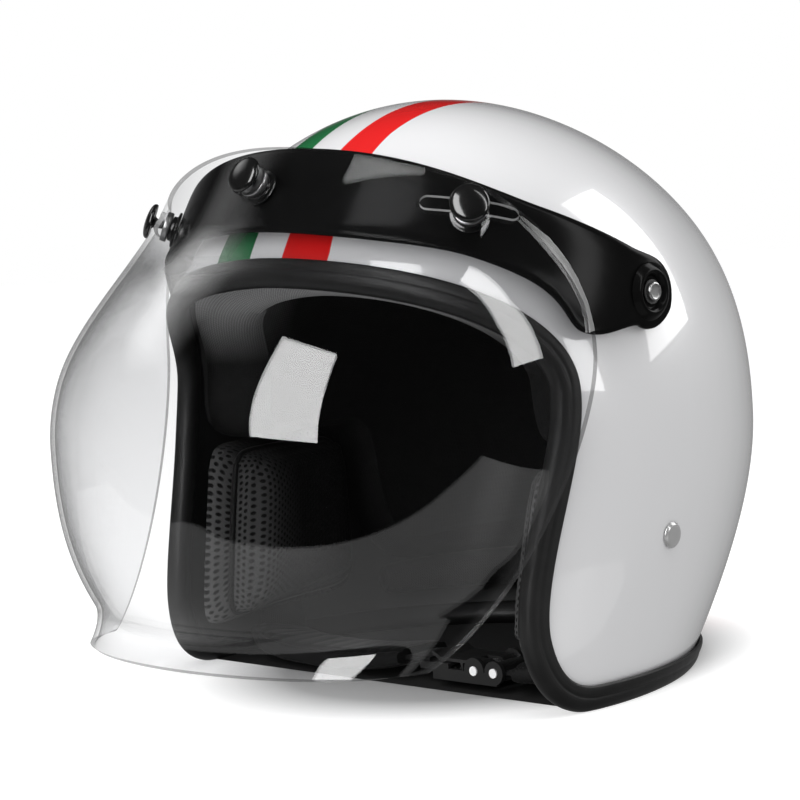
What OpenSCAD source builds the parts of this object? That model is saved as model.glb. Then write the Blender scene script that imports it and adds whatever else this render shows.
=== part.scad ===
// Open face motorcycle helmet with a flip-up bubble shield, in millimetres.
// The face looks along -Y, +Z is up, the wearer's left is +X, and the rim stands on z = 0.

/* [Shell] */
// Width of the shell at its widest level
shell_w = 250; // [208:1:300]
// Reach of the shell in front of its vertical axis
shell_front = 121; // [100:1:146]
// Reach of the shell behind its vertical axis
shell_rear = 154; // [128:1:185]
// Height of the crown above the widest level
shell_top = 146; // [121:1:176]
// Vertical half axis of the shell below the widest level
shell_low = 339; // [282:1:407]
// Height of the widest level above the rest plane
belt_z = 106; // [98:1:114]
// Fullness added to the shell's sides
shell_full = 0.057; // [0:0.001:0.1]
// Forward lean of the shell at the rest plane
shell_lean = 33; // [20:1:40]
// Wall of the shell
shell_wall = 4; // [3:0.1:5]

/* [Face opening] */
// Height of the brow edge on the centre line
brow_z = 180; // [172:1:188]
// Distance of the temple edge in front of the shell axis
temple_y = 55; // [48:1:62]
// Height of the furthest-back point of the face edge
temple_z = 130; // [120:1:140]
// Distance of the cheek corner in front of the shell axis
cheek_y = 73; // [66:1:80]
// Height at which the cheek corner starts to turn
cheek_z = 30; // [26:1:36]
// Height of the shell edge above the rest plane
edge_z = 3.3; // [3:0.1:3.8]

/* [Edge trim] */
// Length of the trim lip on the shell
trim_lip = 7; // [5:0.5:9]
// Depth of the trim bead beyond the shell edge
trim_bead = 4.5; // [4:0.1:5]
// Thickness of the trim lips
trim_t = 2; // [1.4:0.1:2.6]
// Clearance between the shell edge and the trim groove
trim_gap = 0.55; // [0.5:0.05:0.65]

/* [Linings] */
// Thickness of the impact liner
foam_t = 26; // [20:1:32]
// Thickness of the comfort lining
lining_t = 8; // [5:0.5:10]
// Clearance between neighbouring layers
layer_gap = 1.1; // [0.9:0.05:1.3]
// Clearance between the shell's wall and what lies behind it
shell_gap = 0.95; // [0.8:0.05:1.1]
// Rise of a cheek pad at its middle
pad_t = 32; // [24:1:38]
// Distance of the cheek pad plates from the shell
plate_off = 7.4; // [7:0.1:9]
// Thickness of the cheek pad plates
plate_t = 1.6; // [1:0.1:2.4]
// Radius of the neck roll
roll_r = 10; // [8:0.5:11]

/* [Shield band] */
// Distance of the flip axis in front of the shell axis
pivot_y = 12; // [8:1:18]
// Height of the flip axis
pivot_z = 166; // [160:1:172]
// Clearance between the shell and the band's tabs
tab_clear = 5.7; // [4.5:0.1:8]
// Clearance between the shell and the band's face at the front
band_clear = 13; // [10:0.1:16]
// Rise angle of the band towards the front
band_rise = 27.9; // [24:0.1:30]
// Inward lean of the band at the front
band_lean = 2; // [0:0.1:6]
// Thickness of the band
band_t = 3; // [2.4:0.1:3.6]
// Radius of the side tabs
tab_r = 14.7; // [13:0.1:16]
// Depth of the lobe below the side arms
lobe_h = 14.4; // [10:0.1:16]
// Extra half height of the band at the front
front_h = 4.5; // [3:0.1:6]

/* [Pivots] */
// Radius of the pivot posts
post_r = 3; // [2.5:0.1:3.6]
// Running clearance of the tab bores on the posts
post_fit = 0.05; // [0.02:0.01:0.09]
// Radius of the bosses between the shell and the tabs
boss_r = 7.5; // [6.5:0.5:8]
// Radius of the pivot buttons
button_r = 4; // [3.6:0.1:4.6]

/* [Bubble shield] */
// Reach of the bubble nose in front of the shell
bubble_reach = 69; // [60:1:80]
// Height of the bubble nose
nose_z = 108; // [98:1:118]
// Distance of the bubble's side edges outside the shell
bubble_side = 3.3; // [2:0.1:6]
// Height of the bubble's bottom edge at the front
hem_z = 27; // [22:1:32]
// Thickness of the bubble sheet
bubble_t = 2; // [1.6:0.1:2.6]

/* [Snaps] */
// Distance between the band's face and the bubble at the snaps
snap_gap = 7.2; // [6:0.1:9]
// Radius of the snap caps
cap_r = 8; // [7:0.1:8.8]
// Angle of the side snaps along the band
snap_turn = 45; // [41:0.1:48]
// Length of the bubble's slots at the side snaps
slot_len = 47; // [40:1:50]
// Width of the slots
slot_w = 6; // [5:0.1:7]

/* [Chin strap] */
// Width of the webbing
web_w = 22; // [18:1:24]
// Thickness of the webbing
web_t = 2; // [1.6:0.1:2.4]
// Height of the strap rivets
rivet_z = 65.5; // [60:0.5:72]
// Distance of the strap rivets in front of the shell axis
rivet_y = 1.5; // [0:0.5:6]
// Radius of the strap rivet heads
rivet_r = 5.5; // [4.5:0.1:6.5]

/* [Buckle] */
// Length of the buckle housing
buckle_l = 36; // [32:1:40]
// Width of the buckle housing beyond the webbing, both sides together
buckle_room = 5; // [4:0.5:8]
// Height of the buckle side plates
buckle_h = 11; // [10:0.5:13]
// Radius of the buckle pins
pin_r = 2; // [1.6:0.1:2.4]
// Distance between the two buckle pins
pin_pitch = 11; // [10:0.5:13]

/* [Hidden] */
$fn = 48;
half_w = shell_w / 2;
// The box is centred on the frame's origin between the bubble nose and the shell's back
nose_y = shell_front + bubble_reach;
mid_y = (nose_y - shell_rear) / 2;
pole_tilt = 35;
pole = [0, sin(pole_tilt), cos(pole_tilt)];
brow_n = 12;
face_n = 7;
turn_n = 5;
rim_n = 10;
shell_rows = 13;
liner_rows = 7;
// The flats of a wider shell stand further off the true surface, so clearances grow with it
span = shell_w / 250;
wall_room = shell_gap * span;
buckle_w = web_w + buckle_room;
foam_off = shell_wall + wall_room + 0.3 * span;
lining_off = foam_off + foam_t + layer_gap * span;
pad_off = shell_wall + plate_off + plate_t + layer_gap;

// Smooth curves
function bez(p, t) =
    pow(1 - t, 3) * p[0] + 3 * pow(1 - t, 2) * t * p[1] + 3 * (1 - t) * t * t * p[2] + pow(t, 3) * p[3];
function unit(v) = v / norm(v);
function mix(a, b, t) = a + (b - a) * t;
function ease(t) = let (c = min(1, max(0, t))) c * c * (3 - 2 * c);

// The shell is a unit ball whose axes are stretched by these smooth maps
z1 = (3 * shell_top + shell_low) / 4;
z2 = (shell_top - shell_low) / 2;
z3 = (shell_low - shell_top) / 4;
y1 = (shell_front + shell_rear) / 2;
y2 = (shell_rear - shell_front) / 2;
function z_of(w) = z1 * w + z2 * w * w + z3 * w * w * w;
function dz_of(w) = z1 + 2 * z2 * w + 3 * z3 * w * w;
function y_of(u) = y1 * u + y2 * u * u;
function dy_of(u) = y1 + 2 * y2 * u;
function w_of(z, w = 0, n = 9) = n == 0 ? w : w_of(z, w - (z_of(w) - z) / dz_of(w), n - 1);
function u_of(y, u = 0, n = 9) = n == 0 ? u : u_of(y, u - (y_of(u) - y) / dy_of(u), n - 1);
function x_of(v) = half_w * v * (1 + shell_full * (1 - v * v));
function dx_of(v) = half_w * (1 + shell_full * (1 - 3 * v * v));
w_rest = w_of(-belt_z);
function lean_of(w) = shell_lean * pow(min(0, w) / w_rest, 2);
function dlean_of(w) = 2 * shell_lean * min(0, w) / (w_rest * w_rest);
// Direction on the ball for a point of the side view, on the +X side
function ball(p) =
    let (w = w_of(p.y - belt_z), u = u_of(p.x + lean_of(w))) [sqrt(max(0, 1 - u * u - w * w)), u, w];
function skin_n(d) =
    let (ny = d.y / dy_of(d.y)) unit([d.x / dx_of(d.x), ny, (d.z + dlean_of(d.z) * ny) / dz_of(d.z)]);
function skin(d, off) =
    [x_of(d.x), y_of(d.y) - lean_of(d.z), belt_z + z_of(d.z)] + off * skin_n(d);
// Point of the shell at a side view place, moved off it along the normal
function side_point(p, off) = skin(ball(p), off);
// Great arc from the pole of the ball to a rim direction
function arc(d, f) = let (a = acos(pole * d)) (sin((1 - f) * a) * pole + sin(f * a) * d) / sin(a);
// Centre line points of a rim at a height, in front and at the back
function front_at(z) = let (w = w_of(z - belt_z)) [y_of(-sqrt(1 - w * w)) - lean_of(w), z];
function rear_at(z) = let (w = w_of(z - belt_z)) [y_of(sqrt(1 - w * w)) - lean_of(w), z];
function whole_ring(h) = concat(h, [for (i = [len(h) - 2 : -1 : 1]) [-h[i].x, h[i].y, h[i].z]]);

// Side view of the shell's edge: brow, temple, cheek corner and bottom line
rim_brow = [front_at(brow_z), [front_at(brow_z).x + 2, brow_z - 3], [-temple_y, temple_z + 28], [-temple_y, temple_z]];
rim_face = [[-temple_y, temple_z], [-temple_y, temple_z - 29], [-cheek_y - 4, cheek_z + 24], [-cheek_y, cheek_z]];
rim_turn = [[-cheek_y, cheek_z], [-cheek_y + 2.5, cheek_z / 2], [-cheek_y + 10, edge_z], [-cheek_y + 30, edge_z]];
rim_side = concat(
    [for (i = [0 : brow_n - 1]) bez(rim_brow, pow(i / brow_n, 2))],
    [for (i = [0 : face_n - 1]) bez(rim_face, i / face_n)],
    [for (i = [0 : turn_n - 1]) bez(rim_turn, i / turn_n)],
    [for (i = [0 : rim_n]) mix(rim_turn[3], rear_at(edge_z), 1 - pow(1 - i / rim_n, 2))]
);
rim = whole_ring([for (p = rim_side) ball(p)]);

// Side view of the liner's edge, which leaves room for the cheek pads and the neck roll
foam_inset = 9;
foam_low = 108;
foam_back = 34;
foam_brow = [
    front_at(brow_z + foam_inset), [front_at(brow_z).x + 8, brow_z + 5],
    [-temple_y + 9, temple_z + 30], [-temple_y + 9, temple_z + 4]
];
foam_side = concat(
    [for (i = [0 : 9]) bez(foam_brow, pow(i / 10, 2))],
    [for (i = [0 : 3]) bez([foam_brow[3], [-temple_y + 9, foam_low], [-temple_y + 14, foam_low], [-34, foam_low]], i / 4)],
    [for (i = [0 : 2]) mix([-34, foam_low], [26, foam_low], i / 3)],
    [for (i = [0 : 3]) bez([[26, foam_low], [44, foam_low], [44, 92], [46, 74]], i / 4)],
    [for (i = [0 : 2]) bez([[46, 74], [48, 52], [52, foam_back], [70, foam_back]], i / 3)],
    [for (i = [0 : 5]) mix([70, foam_back], rear_at(foam_back), 1 - pow(1 - i / 5, 2))]
);
foam_rim = whole_ring([for (p = foam_side) ball(p)]);

// Closed solid of rings between two end points
module capped_rings(first, rings, last) {
    m = len(rings[0]);
    n = len(rings);
    e = n * m + 1;
    polyhedron(
        concat([first], [for (r = rings) each r], [last]),
        concat(
            [for (i = [0 : m - 1]) [0, 1 + (i + 1) % m, 1 + i]],
            [for (j = [0 : n - 2], i = [0 : m - 1]) each
                let (a = 1 + j * m + i, b = 1 + j * m + (i + 1) % m) [[a, b, a + m], [b, b + m, a + m]]],
            [for (i = [0 : m - 1]) [e, 1 + (n - 1) * m + i, 1 + (n - 1) * m + (i + 1) % m]]
        )
    );
}

// Tube of rings, either closed on itself or with flat ends
module swept(rings, closed) {
    m = len(rings[0]);
    n = len(rings);
    last = closed ? n - 1 : n - 2;
    polyhedron(
        [for (r = rings) each r],
        concat(
            [for (j = [0 : last], i = [0 : m - 1]) each
                let (k = (j + 1) % n, i2 = (i + 1) % m)
                [[j * m + i, k * m + i, j * m + i2], [j * m + i2, k * m + i, k * m + i2]]],
            closed ? [] : [for (i = [1 : m - 2]) [0, i, i + 1]],
            closed ? [] : [for (i = [1 : m - 2]) [(n - 1) * m, (n - 1) * m + i + 1, (n - 1) * m + i]]
        )
    );
}

// Sheet between two grids of the same size
module sheet(outer, inner) {
    n = len(outer);
    m = len(outer[0]);
    s = n * m;
    polyhedron(
        concat([for (r = outer) each r], [for (r = inner) each r]),
        concat(
            [for (j = [0 : n - 2], i = [0 : m - 2]) each
                let (a = j * m + i) [[a, a + m, a + 1], [a + 1, a + m, a + m + 1]]],
            [for (j = [0 : n - 2], i = [0 : m - 2]) each
                let (a = s + j * m + i) [[a, a + 1, a + m], [a + 1, a + m + 1, a + m]]],
            [for (i = [0 : m - 2]) each [[i, i + 1, s + i], [i + 1, s + i + 1, s + i]]],
            [for (i = [0 : m - 2]) each
                let (a = (n - 1) * m + i) [[a, s + a, a + 1], [a + 1, s + a, s + a + 1]]],
            [for (j = [0 : n - 2]) each
                let (a = j * m) [[a, s + a, a + m], [a + m, s + a, s + a + m]]],
            [for (j = [0 : n - 2]) each
                let (a = j * m + m - 1) [[a, a + m, s + a], [a + m, s + a + m, s + a]]]
        )
    );
}

// Both sides of a piece that is drawn on the wearer's left
module both() {
    children();
    mirror([1, 0, 0]) children();
}

// Cylinder along X from one place to another
module rod_x(r, x0, x1) {
    translate([x0, 0, 0]) rotate([0, 90, 0]) cylinder(r = r, h = x1 - x0);
}

// Turns +Z onto a direction and moves to a point
module aim(p, n) {
    translate(p) rotate([0, acos(n.z), atan2(n.y, n.x)]) children();
}

module place() {
    translate([0, mid_y, 0]) children();
}

// Shell and its edge
pivot_d = ball([-pivot_y, pivot_z]);
pivot_p = skin(pivot_d, 0);
rivet_d = ball([-rivet_y, rivet_z]);
rivet_p = skin(rivet_d, 0);
rivet_n = skin_n(rivet_d);
rivet_shank = 2.4;

module outer_shell() {
    color("white") place() difference() {
        capped_rings(
            skin(pole, 0),
            concat(
                [for (j = [1 : shell_rows]) [for (d = rim) skin(arc(d, j / shell_rows), 0)]],
                [for (j = [shell_rows : -1 : 1]) [for (d = rim) skin(arc(d, j / shell_rows), -shell_wall)]]
            ),
            skin(pole, -shell_wall)
        );
        both() translate([0, -pivot_y, pivot_z]) rod_x(post_r + 0.4, pivot_p.x - 22, pivot_p.x + 20);
        both() aim(rivet_p - 12 * rivet_n, rivet_n) cylinder(r = rivet_shank + 0.2, h = 24);
    }
}

// Trim outline: distance past the shell edge and distance off its outer face
trim_outline = let (g = trim_gap * span, t = trim_t, w = shell_wall, b = trim_bead) [
    [-trim_lip, g], [g, g], [g, -w - g], [-trim_lip + 1.5, -w - g - 0.4], [-trim_lip + 1.6, -w - g - 0.9 * t - 0.3],
    [0, -w - g - 1.2 * t], [0.66 * b, -w - g - 0.8 * t], [b, -w + 0.4], [b, -0.6],
    [0.7 * b, 0.6 * t + g], [0, t + g + 0.3], [-trim_lip + 1, t + g - 0.2], [-trim_lip, 0.6 * t + g]
];

module edge_trim() {
    m = len(rim);
    edge = [for (d = rim) skin(d, 0)];
    rings = [for (i = [m - 1 : -1 : 0])
        let (
            t = unit(edge[(i + 1) % m] - edge[(i + m - 1) % m]),
            n0 = skin_n(rim[i]),
            n = unit(n0 - (n0 * t) * t),
            b = cross(t, n)
        )
        [for (q = trim_outline) let (p = edge[i] + q.x * b + q.y * n) [p.x, p.y, max(0, p.z)]]
    ];
    color("dimgray") place() swept(rings, true);
}

// Liners
module impact_liner() {
    color("lightgray") place() difference() {
        capped_rings(
            skin(pole, -foam_off),
            concat(
                [for (j = [1 : liner_rows]) [for (d = foam_rim) skin(arc(d, j / liner_rows), -foam_off)]],
                [for (j = [liner_rows : -1 : 1])
                    [for (d = foam_rim) skin(arc(d, j / liner_rows), -foam_off - foam_t)]]
            ),
            skin(pole, -foam_off - foam_t)
        );
        both() translate([0, -pivot_y, pivot_z]) rod_x(nut_r + 2, nut_x - 5, pivot_p.x + 10);
    }
}

// Place past a rim, square to it, at a distance off the shell
function past(r, i, mm, off) =
    let (
        m = len(r),
        t = unit(skin(r[(i + 1) % m], off) - skin(r[(i + m - 1) % m], off)),
        n0 = skin_n(r[i]),
        n = unit(n0 - (n0 * t) * t)
    )
    skin(r[i], off) + mm * cross(t, n);

// Fold of the lining round the liner's edge: distance past it and distance off the shell
fold_gap = 1.2;
lining_fold = [
    [fold_gap, -lining_off], [fold_gap, -foam_off - 3], [3.4, -foam_off - 4],
    [5.2, -foam_off - 12], [3.8, -lining_off - 0.4 * lining_t], [0, -lining_off - lining_t]
];

module comfort_lining() {
    color("black") place() capped_rings(
        skin(pole, -lining_off),
        concat(
            [for (j = [1 : liner_rows]) [for (d = foam_rim) skin(arc(d, j / liner_rows), -lining_off)]],
            [for (q = lining_fold) [for (i = [0 : len(foam_rim) - 1]) past(foam_rim, i, q.x, q.y)]],
            [for (j = [liner_rows - 1 : -1 : 1])
                [for (d = foam_rim) skin(arc(d, j / liner_rows), -lining_off - lining_t)]]
        ),
        skin(pole, -lining_off - lining_t)
    );
}

// Cheek pads on plates that snap to studs on the shell
pad_low = 18;
pad_high = 100;
pad_back = 34;
function pad_place(p, q) =
    let (z = mix(pad_low, pad_high, q), lead = -mix(cheek_y, temple_y, 0.7 * q) + 4 - 2 * sin(180 * q))
    [mix(lead, pad_back, p), z];
// Crown of the pad, drawn in towards its sides
function pad_rise(p, q) =
    pad_t * (0.35 + 0.65 * pow((1 - pow(abs(2 * p - 1), 3)) * (1 - pow(abs(2 * q - 1), 3)), 0.5));
pad_p = 12;
pad_q = 10;
module pad_sheet(low, high, swell, inset) {
    grid_p = [for (i = [0 : pad_p]) mix(inset, 1 - inset, i / pad_p)];
    grid_q = [for (j = [0 : pad_q]) mix(inset, 1 - inset, j / pad_q)];
    sheet(
        [for (q = grid_q) [for (p = grid_p) side_point(pad_place(p, q), -low)]],
        [for (q = grid_q) [for (p = grid_p)
            let (e = mix(p, 0.5, 0.12), f = mix(q, 0.5, 0.12))
            swell ? side_point(pad_place(e, f), -low - pad_rise(p, q)) : side_point(pad_place(p, q), -high)]]
    );
}

module cheek_pad_left() {
    color("black") place() pad_sheet(pad_off, pad_off + pad_t, true, 0);
}

module cheek_pad_right() {
    color("black") place() mirror([1, 0, 0]) pad_sheet(pad_off, pad_off + pad_t, true, 0);
}

module cheek_plate() {
    pad_sheet(shell_wall + plate_off, shell_wall + plate_off + plate_t, false, 0.06);
}

module cheek_plate_left() {
    color("gray") place() cheek_plate();
}

module cheek_plate_right() {
    color("gray") place() mirror([1, 0, 0]) cheek_plate();
}

stud_places = [[-48, 44], [-40, 86], [22, 86]];
module pad_studs() {
    color("ivory") place() both() for (s = stud_places) {
        d = ball(s);
        n = skin_n(d);
        aim(skin(d, -shell_wall - wall_room), -n) cylinder(r = 4.5, h = plate_off - wall_room - 0.2);
    }
}

// Neck roll along the rear of the bottom edge
roll_off = shell_wall + 5 + roll_r;
module neck_roll() {
    half = [for (i = [0 : 9]) let (t = 1 - pow(1 - i / 9, 1.6)) mix([48, 19.7], rear_at(19.7), t)];
    dirs = concat(
        [for (p = half) ball(p)],
        [for (i = [8 : -1 : 0]) let (d = ball(half[i])) [-d.x, d.y, d.z]]
    );
    line = [for (d = dirs) skin(d, -roll_off)];
    n = len(line);
    rings = [for (i = [0 : n - 1])
        let (
            t = unit(line[min(n - 1, i + 1)] - line[max(0, i - 1)]),
            s = unit(cross(t, [0, 0, 1])),
            g = 0.45 + 0.55 * pow(sin(180 * (0.08 + 0.84 * i / (n - 1))), 0.4)
        )
        [for (a = [324 : -36 : 0]) line[i] + roll_r * g * (cos(a) * s + 0.95 * sin(a) * [0, 0, 1])]
    ];
    color("black") place() swept(rings, false);
}

// Strap rivets, hanger plates and webbing
rivet_head = 1.8;
hanger_t = 1.5;
washer_t = 0.9;
hanger_at = shell_wall + wall_room + washer_t + 0.1;
module strap_rivets() {
    color("silver") place() both() aim(rivet_p, rivet_n) union() {
        rotate_extrude() polygon([
            [0, 0.15], [rivet_r, 0.15], [rivet_r, 0.7], [rivet_r - 0.9, rivet_head], [0, rivet_head]
        ]);
        translate([0, 0, -hanger_at - hanger_t - 0.7]) cylinder(r = rivet_shank, h = hanger_at + hanger_t + 1.1);
        translate([0, 0, -hanger_at - hanger_t - 1.5]) cylinder(r = 4, h = 0.9);
    }
}

module rivet_washers() {
    color("silver") place() both() aim(rivet_p, rivet_n) difference() {
        translate([0, 0, -shell_wall - wall_room - washer_t]) cylinder(r = 6, h = washer_t);
        translate([0, 0, -20]) cylinder(r = rivet_shank + 0.1, h = 40);
    }
}

// Plates that follow the shell from the rivet down to the strap's slot
function hanger_grid(off) = [for (q = [0 : 6]) [for (p = [0 : 4])
    side_point([-rivet_y - mix(9, web_w / 2 + 4, ease(q / 5)) * (p / 2 - 1), rivet_z + 9 - 6 * q], -off)]];
module strap_hangers() {
    color("silver") place() both() difference() {
        sheet(hanger_grid(hanger_at), hanger_grid(hanger_at + hanger_t));
        aim(rivet_p, rivet_n) translate([0, 0, -20]) cylinder(r = rivet_shank + 0.1, h = 40);
        aim(rivet_p, rivet_n) translate([20.5, 0, -10]) cube([4, web_w + 2, 12], center = true);
    }
}

// Middle of the buckle, on the wearer's left of the chin
buckle_x = 44.5;
buckle_y = -32;
buckle_z = 9.5;
lever_pin_x = 5.5;
bar_pin_x = lever_pin_x + pin_pitch;
tongue_x0 = -buckle_l / 2 - 11;
// The webbing's route: places and, at each, the direction of its width
function hang(z, off, step) =
    let (y = -rivet_y - step, a = side_point([y + 6, z], -off), b = side_point([y - 6, z], -off))
    [side_point([y, z], -off), unit(a - b)];
function flip(p) = [[-p[0].x, p[0].y, p[0].z], [-p[1].x, p[1].y, p[1].z]];
function across(r) = [for (p = r) [p, [0, 1, 0]]];
strap_off = shell_wall + 5.2;
route_top = [hang(rivet_z - 22, strap_off, 0), hang(33, strap_off, 1), hang(24, strap_off + 0.6, 3), hang(15, 13.5, 7)];
loop_r = pin_r + 0.3 + web_t / 2;
left_route = concat(route_top, across([
    [92, -22, 11], [80, -29, 10], [70, buckle_y, buckle_z], [buckle_x + bar_pin_x + loop_r, buckle_y, buckle_z]
]));
right_route = concat([for (p = route_top) flip(p)], across([
    [-90, -22, 10], [-72, -30, 7], [-42, buckle_y, 6], [-14, buckle_y, 7.4], [8, buckle_y, 10.8],
    [buckle_x + tongue_x0 + 2, buckle_y, buckle_z + 1.9], [buckle_x + tongue_x0 + 7, buckle_y, buckle_z + 1.9]
]));
left_steps = 16;
right_steps = 24;
// Smooth route through its places
function route_at(r, s) =
    let (
        n = len(r) - 1,
        i = min(n - 1, floor(s * n)),
        t = s * n - i,
        a = r[max(0, i - 1)], b = r[i], c = r[i + 1], d = r[min(n, i + 2)]
    )
    [for (k = [0, 1]) 0.5 * (2 * b[k] + (c[k] - a[k]) * t + (2 * a[k] - 5 * b[k] + 4 * c[k] - d[k]) * t * t
        + (3 * b[k] - a[k] - 3 * c[k] + d[k]) * t * t * t)];
// Flat section swept along part of a route
module webbing(r, s0, s1, n, w, t, round_to) {
    pts = [for (i = [0 : n]) route_at(r, mix(s0, s1, i / n))];
    rings = [for (i = [0 : n])
        let (
            p = pts[i][0],
            g = unit(pts[min(n, i + 1)][0] - pts[max(0, i - 1)][0]),
            wd = unit(pts[i][1] - (pts[i][1] * g) * g),
            up = cross(g, wd),
            swell = round_to == 0 ? 1 : mix(round_to, 1, pow(sin(180 * i / n), 0.5)),
            hw = w / 2,
            ht = swell * t / 2
        )
        round_to == 0
            ? [p + hw * wd - ht * up, p + hw * wd + ht * up, p - hw * wd + ht * up, p - hw * wd - ht * up]
            : [for (a = [0 : 30 : 359])
                p + hw * sign(cos(a)) * pow(abs(cos(a)), 0.5) * wd + ht * sign(sin(a)) * pow(abs(sin(a)), 0.7) * up]
    ];
    swept(rings, false);
}

// The left strap ends in a loop round the buckle's bar
module chin_strap_left() {
    color("black") place() difference() {
        union() {
            webbing(left_route, 0, 1, left_steps, web_w, web_t, 0);
            translate([buckle_x + bar_pin_x, buckle_y, buckle_z]) rotate([90, 0, 0])
                cylinder(r = loop_r + web_t / 2, h = web_w, center = true);
        }
        translate([buckle_x + bar_pin_x, buckle_y, buckle_z]) rotate([90, 0, 0])
            cylinder(r = loop_r - web_t / 2, h = web_w + 9, center = true);
    }
}

module chin_strap_right() {
    color("black") place() webbing(right_route, 0, 1, right_steps, web_w, web_t, 0);
}

// Sleeve round the webbing, open along the webbing's own section
module strap_sleeve(r, s0, s1, steps) {
    difference() {
        webbing(r, s0, s1, 12, web_w + 10, 9, 0.7);
        webbing(r, 0, 1, steps, web_w + 0.8, web_t + 0.8, 0);
    }
}

module strap_pad_left() {
    color("black") place() strap_sleeve(left_route, 0.52, 0.86, left_steps);
}

module strap_pad_right() {
    color("black") place() strap_sleeve(right_route, 0.4, 0.8, right_steps);
}

// Ratchet buckle, with its length along X
side_t = 2;
pin_fit = 0.05;
module at_buckle() {
    place() translate([buckle_x, buckle_y, buckle_z]) children();
}

module buckle_housing() {
    color("dimgray") at_buckle() difference() {
        union() {
            for (s = [-1, 1]) translate([0, s * (buckle_w / 2 - side_t / 2), 0]) rotate([90, 0, 0])
                linear_extrude(side_t, center = true) union() {
                    translate([0, -buckle_h / 4 - 0.25]) square([buckle_l, buckle_h / 2 - 0.5], center = true);
                    translate([lever_pin_x, 0]) circle(r = buckle_h / 2);
                    translate([bar_pin_x, 0]) circle(r = buckle_h / 2 - 0.5);
                }
            translate([-buckle_l / 2, -buckle_w / 2, -buckle_h / 2]) cube([buckle_l - 9, buckle_w, 1.6]);
            translate([-buckle_l / 2, -buckle_w / 2, 0.45]) cube([9, buckle_w, 1.3]);
            for (s = [-1, 1]) translate([-buckle_l / 2, s * (buckle_w / 2 - 1) - 1, -buckle_h / 2])
                cube([9, 2, buckle_h / 2 + 1.6]);
        }
        for (x = [lever_pin_x, bar_pin_x]) translate([x, 0, 0]) rotate([90, 0, 0])
            cylinder(r = pin_r + pin_fit, h = buckle_w + 10, center = true);
    }
}

module buckle_pins() {
    color("silver") at_buckle() for (x = [lever_pin_x, bar_pin_x]) translate([x, 0, 0]) rotate([90, 0, 0])
        cylinder(r = pin_r, h = buckle_w + 1.2, center = true);
}

// Lever with its pawl, which turns on the first pin; a window in it holds the spring
lever_w = buckle_w - 2 * side_t - 0.8;
coil_w = 3.6;
module buckle_lever() {
    color("darkred") at_buckle() translate([lever_pin_x, 0, 0]) difference() {
        rotate([90, 0, 0]) linear_extrude(lever_w, center = true) difference() {
            union() {
                circle(r = pin_r + 1.6);
                polygon([[0, 3.5], [-21, 3.6], [-25, 6], [-26, 5.2], [-21.6, 2.2], [-5, 2.2], [-3, 1.4]]);
                polygon([[-10, 2.6], [-8.2, 2.6], [-8.2, -0.6], [-8.8, -0.6]]);
            }
            circle(r = pin_r + pin_fit);
        }
        translate([-6, -coil_w / 2 - 0.7, -8]) cube([12, coil_w + 1.4, 16]);
    }
}

// Torsion spring round the first pin, one wire from the housing floor to the lever
wire_r = 0.4;
coil_r = pin_r + 0.3 + wire_r;
coil_turns = 2;
coil_pitch = 1.4;
coil_end = 360 * coil_turns + 90;
spring_line = concat(
    [[coil_r, -coil_w / 2, -buckle_h / 2 + 1.7 + wire_r], [coil_r, -coil_w / 2, -1]],
    [for (a = [0 : 45 : coil_end]) [coil_r * cos(a), -coil_w / 2 + coil_pitch * a / 360, coil_r * sin(a)]],
    [[-1.5, -coil_w / 2 + coil_pitch * coil_end / 360 + 0.2, coil_r - 0.35],
     [-6.6, -coil_w / 2 + coil_pitch * coil_end / 360 + 0.6, 0.95]]
);
spring_gap = min([for (i = [0 : len(spring_line) - 1], j = [0 : len(spring_line) - 1])
    if (j > i + 4) norm(spring_line[i] - spring_line[j])]) - 2 * wire_r;
echo(str("least gap of the spring to itself ", spring_gap));
module buckle_spring() {
    n = len(spring_line) - 1;
    rings = [for (i = [0 : n])
        let (
            t = unit(spring_line[min(n, i + 1)] - spring_line[max(0, i - 1)]),
            e = unit(cross(t, [0, 1, 0.01])),
            f = cross(t, e)
        )
        [for (a = [0 : 60 : 300]) spring_line[i] + wire_r * (cos(a) * e + sin(a) * f)]];
    color("silver") at_buckle() translate([lever_pin_x, 0, 0]) swept(rings, false);
}

// Toothed tongue on the end of the long strap
tongue_w = 19;
tongue_x1 = lever_pin_x - 4.6;
module buckle_tongue() {
    teeth = 4;
    pitch = 3.6;
    color("black") at_buckle() rotate([90, 0, 0]) linear_extrude(tongue_w, center = true) union() {
        translate([tongue_x0, -2.6]) square([tongue_x1 - tongue_x0, 1.6]);
        for (i = [0 : teeth - 1]) translate([lever_pin_x - 7.8 - i * pitch, -1.05])
            polygon([[0, 0], [2.2, 0], [0, 1.1]]);
        translate([tongue_x0, -2.6]) square([8, 3.2]);
    }
}

// Shield pivots
tab_in = pivot_p.x + tab_clear;
tab_out = tab_in + band_t;
band_half_w = tab_in + band_t / 2;
boss_gap = 0.9;
nut_r = 8;
nut_x = pivot_p.x - shell_wall - 9;
dish_h = 2;
pivot_n = skin_n(pivot_d);
seat_gap = 0.45;
// Keeps what lies outside (or inside) the shell's tangent plane at the pivot
module off_shell(off) {
    difference() {
        children();
        aim(pivot_p + off * pivot_n, pivot_n) translate([-40, -40, off < 0 ? 0 : -60]) cube([80, 80, 60]);
    }
}

module pivot_bosses() {
    color("black") place() both() off_shell(seat_gap) translate([0, -pivot_y, pivot_z]) difference() {
        rod_x(boss_r, pivot_p.x - 12, tab_in - 0.1 - boss_gap);
        rod_x(post_r + 0.1, nut_x - 9, tab_out + 9);
    }
}

module pivot_posts() {
    color("silver") place() both() translate([0, -pivot_y, pivot_z]) union() {
        rod_x(post_r, nut_x - 1, tab_out + 1.2);
        translate([tab_out + 0.9, 0, 0]) rotate([0, 90, 0]) rotate_extrude() polygon([
            [0, 0], [button_r, 0], [button_r, 1.2], [button_r - 0.6, 1.8], [0, 1.8]
        ]);
    }
}

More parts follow.
